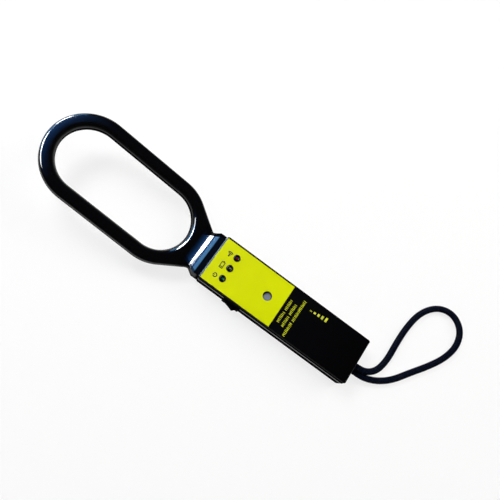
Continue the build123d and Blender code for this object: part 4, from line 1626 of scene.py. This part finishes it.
@dataclass(frozen=True)
class Panel:
    """A light panel that faces the detector.

    Its bearing is counted from the handle's end towards the far side, its radiance is its face's brightness,
    and its shift moves it in its own plane, back along its bearing and up.
    """

    name: str
    bearing_deg: float
    height_deg: float
    distance: float
    size: Span
    radiance: float
    colour: Colour
    seen: Seen
    feathered: bool = False
    shift: Span = (0.0, 0.0)

    def hang(self) -> None:
        """Add the panel to the scene."""
        light = bpy.data.lights.new(self.name, "AREA")
        light.shape = "RECTANGLE"
        light.size, light.size_y = self.size
        light.energy = self.radiance * math.pi * self.size[0] * self.size[1]
        light.color = self.colour
        if self.feathered:
            self.feather(light)
        bearing, height = math.radians(self.bearing_deg), math.radians(self.height_deg)
        level = math.cos(height)
        direction = Vector((level * math.cos(bearing), level * math.sin(bearing), math.sin(height)))
        back = Vector((math.sin(bearing), -math.cos(bearing), 0.0))
        moved = back * self.shift[0] + back.cross(direction) * self.shift[1]
        piece = bpy.data.objects.new(self.name, light)
        piece.location = direction * self.distance + moved
        piece.rotation_euler = direction.to_track_quat("Z", "Y").to_euler()
        piece.visible_diffuse = self.seen is Seen.MATT
        piece.visible_glossy = self.seen is Seen.GLOSS
        bpy.context.scene.collection.objects.link(piece)

    @staticmethod
    def feather(light: bpy.types.Light) -> None:
        """Fade a panel's brightness from its middle to its edges.

        Args:
            light: the panel's light.
        """
        light.use_nodes = True
        graph = Graph(light.node_tree)
        spread = graph.value("ShaderNodeNewGeometry", output="Parametric")
        parts = graph.node("ShaderNodeSeparateXYZ", None, {0: spread})
        across, along = (Value(graph, parts.outputs[k]) * 2.0 - 1.0 for k in ("X", "Y"))
        glow = (1.0 - across * across) * (1.0 - along * along)
        graph.feed(light.node_tree.nodes["Emission"].inputs["Strength"], glow * glow)


WHITE: Colour = (1.0, 1.0, 1.0)
DAYLIGHT: Colour = (0.95, 0.98, 1.0)
WINDOW_BEARING = 155.0
WINDOW_HEIGHT = 56.0
WINDOW_DISTANCE = 1.75
SKY_BEARING = 160.4


def pane(
    name: str, size: Span, radiance: float, shift: Span = (0.0, 0.0), colour: Colour = DAYLIGHT,
    bearing_deg: float = WINDOW_BEARING,
) -> Panel:
    """One part of the window that shows in glossy surfaces."""
    place = (bearing_deg, WINDOW_HEIGHT, WINDOW_DISTANCE)
    return Panel(name, *place, size, radiance, colour, Seen.GLOSS, shift=shift)


@dataclass
class Studio:
    """Floor, light and camera."""

    camera_place: Point = (BOX_FRONT + 1.7671 * MM, -133.8591 * MM, 551.4795 * MM)
    camera_aim: Point = (BOX_FRONT + 26.4758 * MM, 28.5180 * MM, 25.0 * MM)
    camera_roll_deg: float = -44.7864
    lens: float = 38.4586
    clip: Span = (0.01, 100.0)
    floor_half: float = 6.0
    floor_level: float = -0.1 * MM
    floor_colour: Colour = (0.93, 0.93, 0.93)
    floor_roughness: float = 0.9
    floor_specular: float = 0.1
    floor_white: float = 0.8
    fibres: Clouds = Clouds(900.0, 3.0)
    fibre_colour: Colour = (0.82, 0.82, 0.83)
    fibre_tint: float = 0.1
    sky_low: float = 0.12
    sky_high: float = 0.02
    sky_band: Span = (0.25, 0.6)
    backdrop: float = 0.5
    backdrop_band: Span = (0.06, 0.14)
    panels: tuple[Panel, ...] = (
        pane("window_far_pane", (0.605, 0.35), 110.0, (0.2575, 0.0)),
        pane("window_bar", (0.115, 0.35), 7.0, (-0.1025, 0.0), (0.8, 0.93, 1.0)),
        pane("window_near_pane", (0.4, 0.35), 110.0, (-0.36, 0.0)),
        pane("window_low_pane", (0.46, 0.36), 80.0, (0.19, -0.63)),
        pane("window_side", (0.42, 0.35), 40.0, bearing_deg=198.0),
        Panel("low_sky", SKY_BEARING, 30.0, 1.9, (2.2, 0.95), 6.6, (0.19, 0.55, 1.0), Seen.GLOSS),
        Panel("wide_sky", SKY_BEARING, 55.0, 8.0, (10.3, 10.3), 3.8, (0.02, 0.28, 1.0), Seen.GLOSS, True),
        Panel("key", SKY_BEARING, 50.0, 1.5, (0.6, 0.5), 20.0, WHITE, Seen.MATT),
        Panel("fill", 56.0, 38.0, 1.8, (1.0, 1.0), 6.6, (1.0, 0.98, 0.95), Seen.MATT),
    )

    def camera(self) -> None:
        """Set the camera at the viewing angle, turned about its own axis."""
        place, aim = Vector(self.camera_place), Vector(self.camera_aim)
        ahead = (aim - place).normalized()
        level = (Vector((0, 0, 1)) - ahead * ahead.z).normalized()
        roll = math.radians(self.camera_roll_deg)
        up = level * math.cos(roll) + ahead.cross(level) * math.sin(roll)
        right = ahead.cross(up)
        data = bpy.data.cameras.new("camera")
        data.lens = self.lens
        data.clip_start, data.clip_end = self.clip
        eye = bpy.data.objects.new("camera", data)
        eye.matrix_world = Matrix((
            (right.x, up.x, -ahead.x, place.x),
            (right.y, up.y, -ahead.y, place.y),
            (right.z, up.z, -ahead.z, place.z),
            (0, 0, 0, 1),
        ))
        bpy.context.scene.collection.objects.link(eye)
        bpy.context.scene.camera = eye

    def floor(self) -> None:
        """Lay a pale floor that looks white where nothing shades it."""
        half = self.floor_half
        mesh = bpy.data.meshes.new("floor")
        corners = [(-half, -half), (half, -half), (half, half), (-half, half)]
        mesh.from_pydata([(x, y, self.floor_level) for x, y in corners], [], [(0, 1, 2, 3)])
        floor = Shape.placed("floor", mesh)
        surface = Surface("floor_paper")
        surface.put(Roughness=self.floor_roughness, Specular_IOR_Level=self.floor_specular)
        surface.tint(surface.clouds(self.fibres) * self.fibre_tint, self.floor_colour, self.fibre_colour)
        glow = surface.value("ShaderNodeEmission", None, {"Color": (*WHITE, 1.0), "Strength": 1.0})
        path = surface.node("ShaderNodeLightPath")
        rays = ("Is Camera Ray", "Is Glossy Ray", "Is Transmission Ray")
        camera, glossy, through = (Value(surface, path.outputs[ray]) for ray in rays)
        seen = (camera + glossy + through).share()
        mixed = surface.value("ShaderNodeMixShader", None, {
            0: seen * self.floor_white, 1: Value(surface, surface.shader.outputs[0]), 2: glow})
        surface.feed(surface.tree.nodes["Material Output"].inputs["Surface"], mixed)
        mesh.materials.append(surface.material)

    def world(self) -> None:
        """White backdrop round the horizon, a soft grey above it and a dim ceiling."""
        world = bpy.data.worlds.new("studio")
        world.use_nodes = True
        bpy.context.scene.world = world
        graph = Graph(world.node_tree)
        way = graph.value("ShaderNodeTexCoord", output="Generated")
        height = graph.value("ShaderNodeSeparateXYZ", None, {0: way}, "Z")
        sky = graph.step(height, *self.sky_band, self.sky_low, self.sky_high)
        horizon = graph.step(height, *self.backdrop_band, self.backdrop - self.sky_low, 0.0)
        background = world.node_tree.nodes["Background"]
        graph.feed(background.inputs["Strength"], sky + horizon)
        graph.feed(background.inputs["Color"], (*WHITE, 1.0))

    def build(self) -> None:
        """Set up floor, light and camera."""
        bpy.context.scene.view_settings.view_transform = "Standard"
        self.camera()
        self.floor()
        self.world()
        for panel in self.panels:
            panel.hang()


def main() -> None:
    """Set up the studio, then build and dress the detector's pieces in order."""
    logging.basicConfig(level=logging.INFO, format="%(name)s: %(message)s")
    studio = Studio()
    studio.build()
    assemblies = [WristCord(), SearchHead(), CaseBox(), FaceLabel(), SignalLamps(), Sounder(), RockerSwitch(),
                  Insides()]
    for assembly in assemblies:
        for piece in assembly.build():
            LOG.info("%s: %s, %d faces", type(assembly).__name__, piece.name, len(piece.data.polygons))
        assembly.dress()


if __name__ == "__main__":
    main()
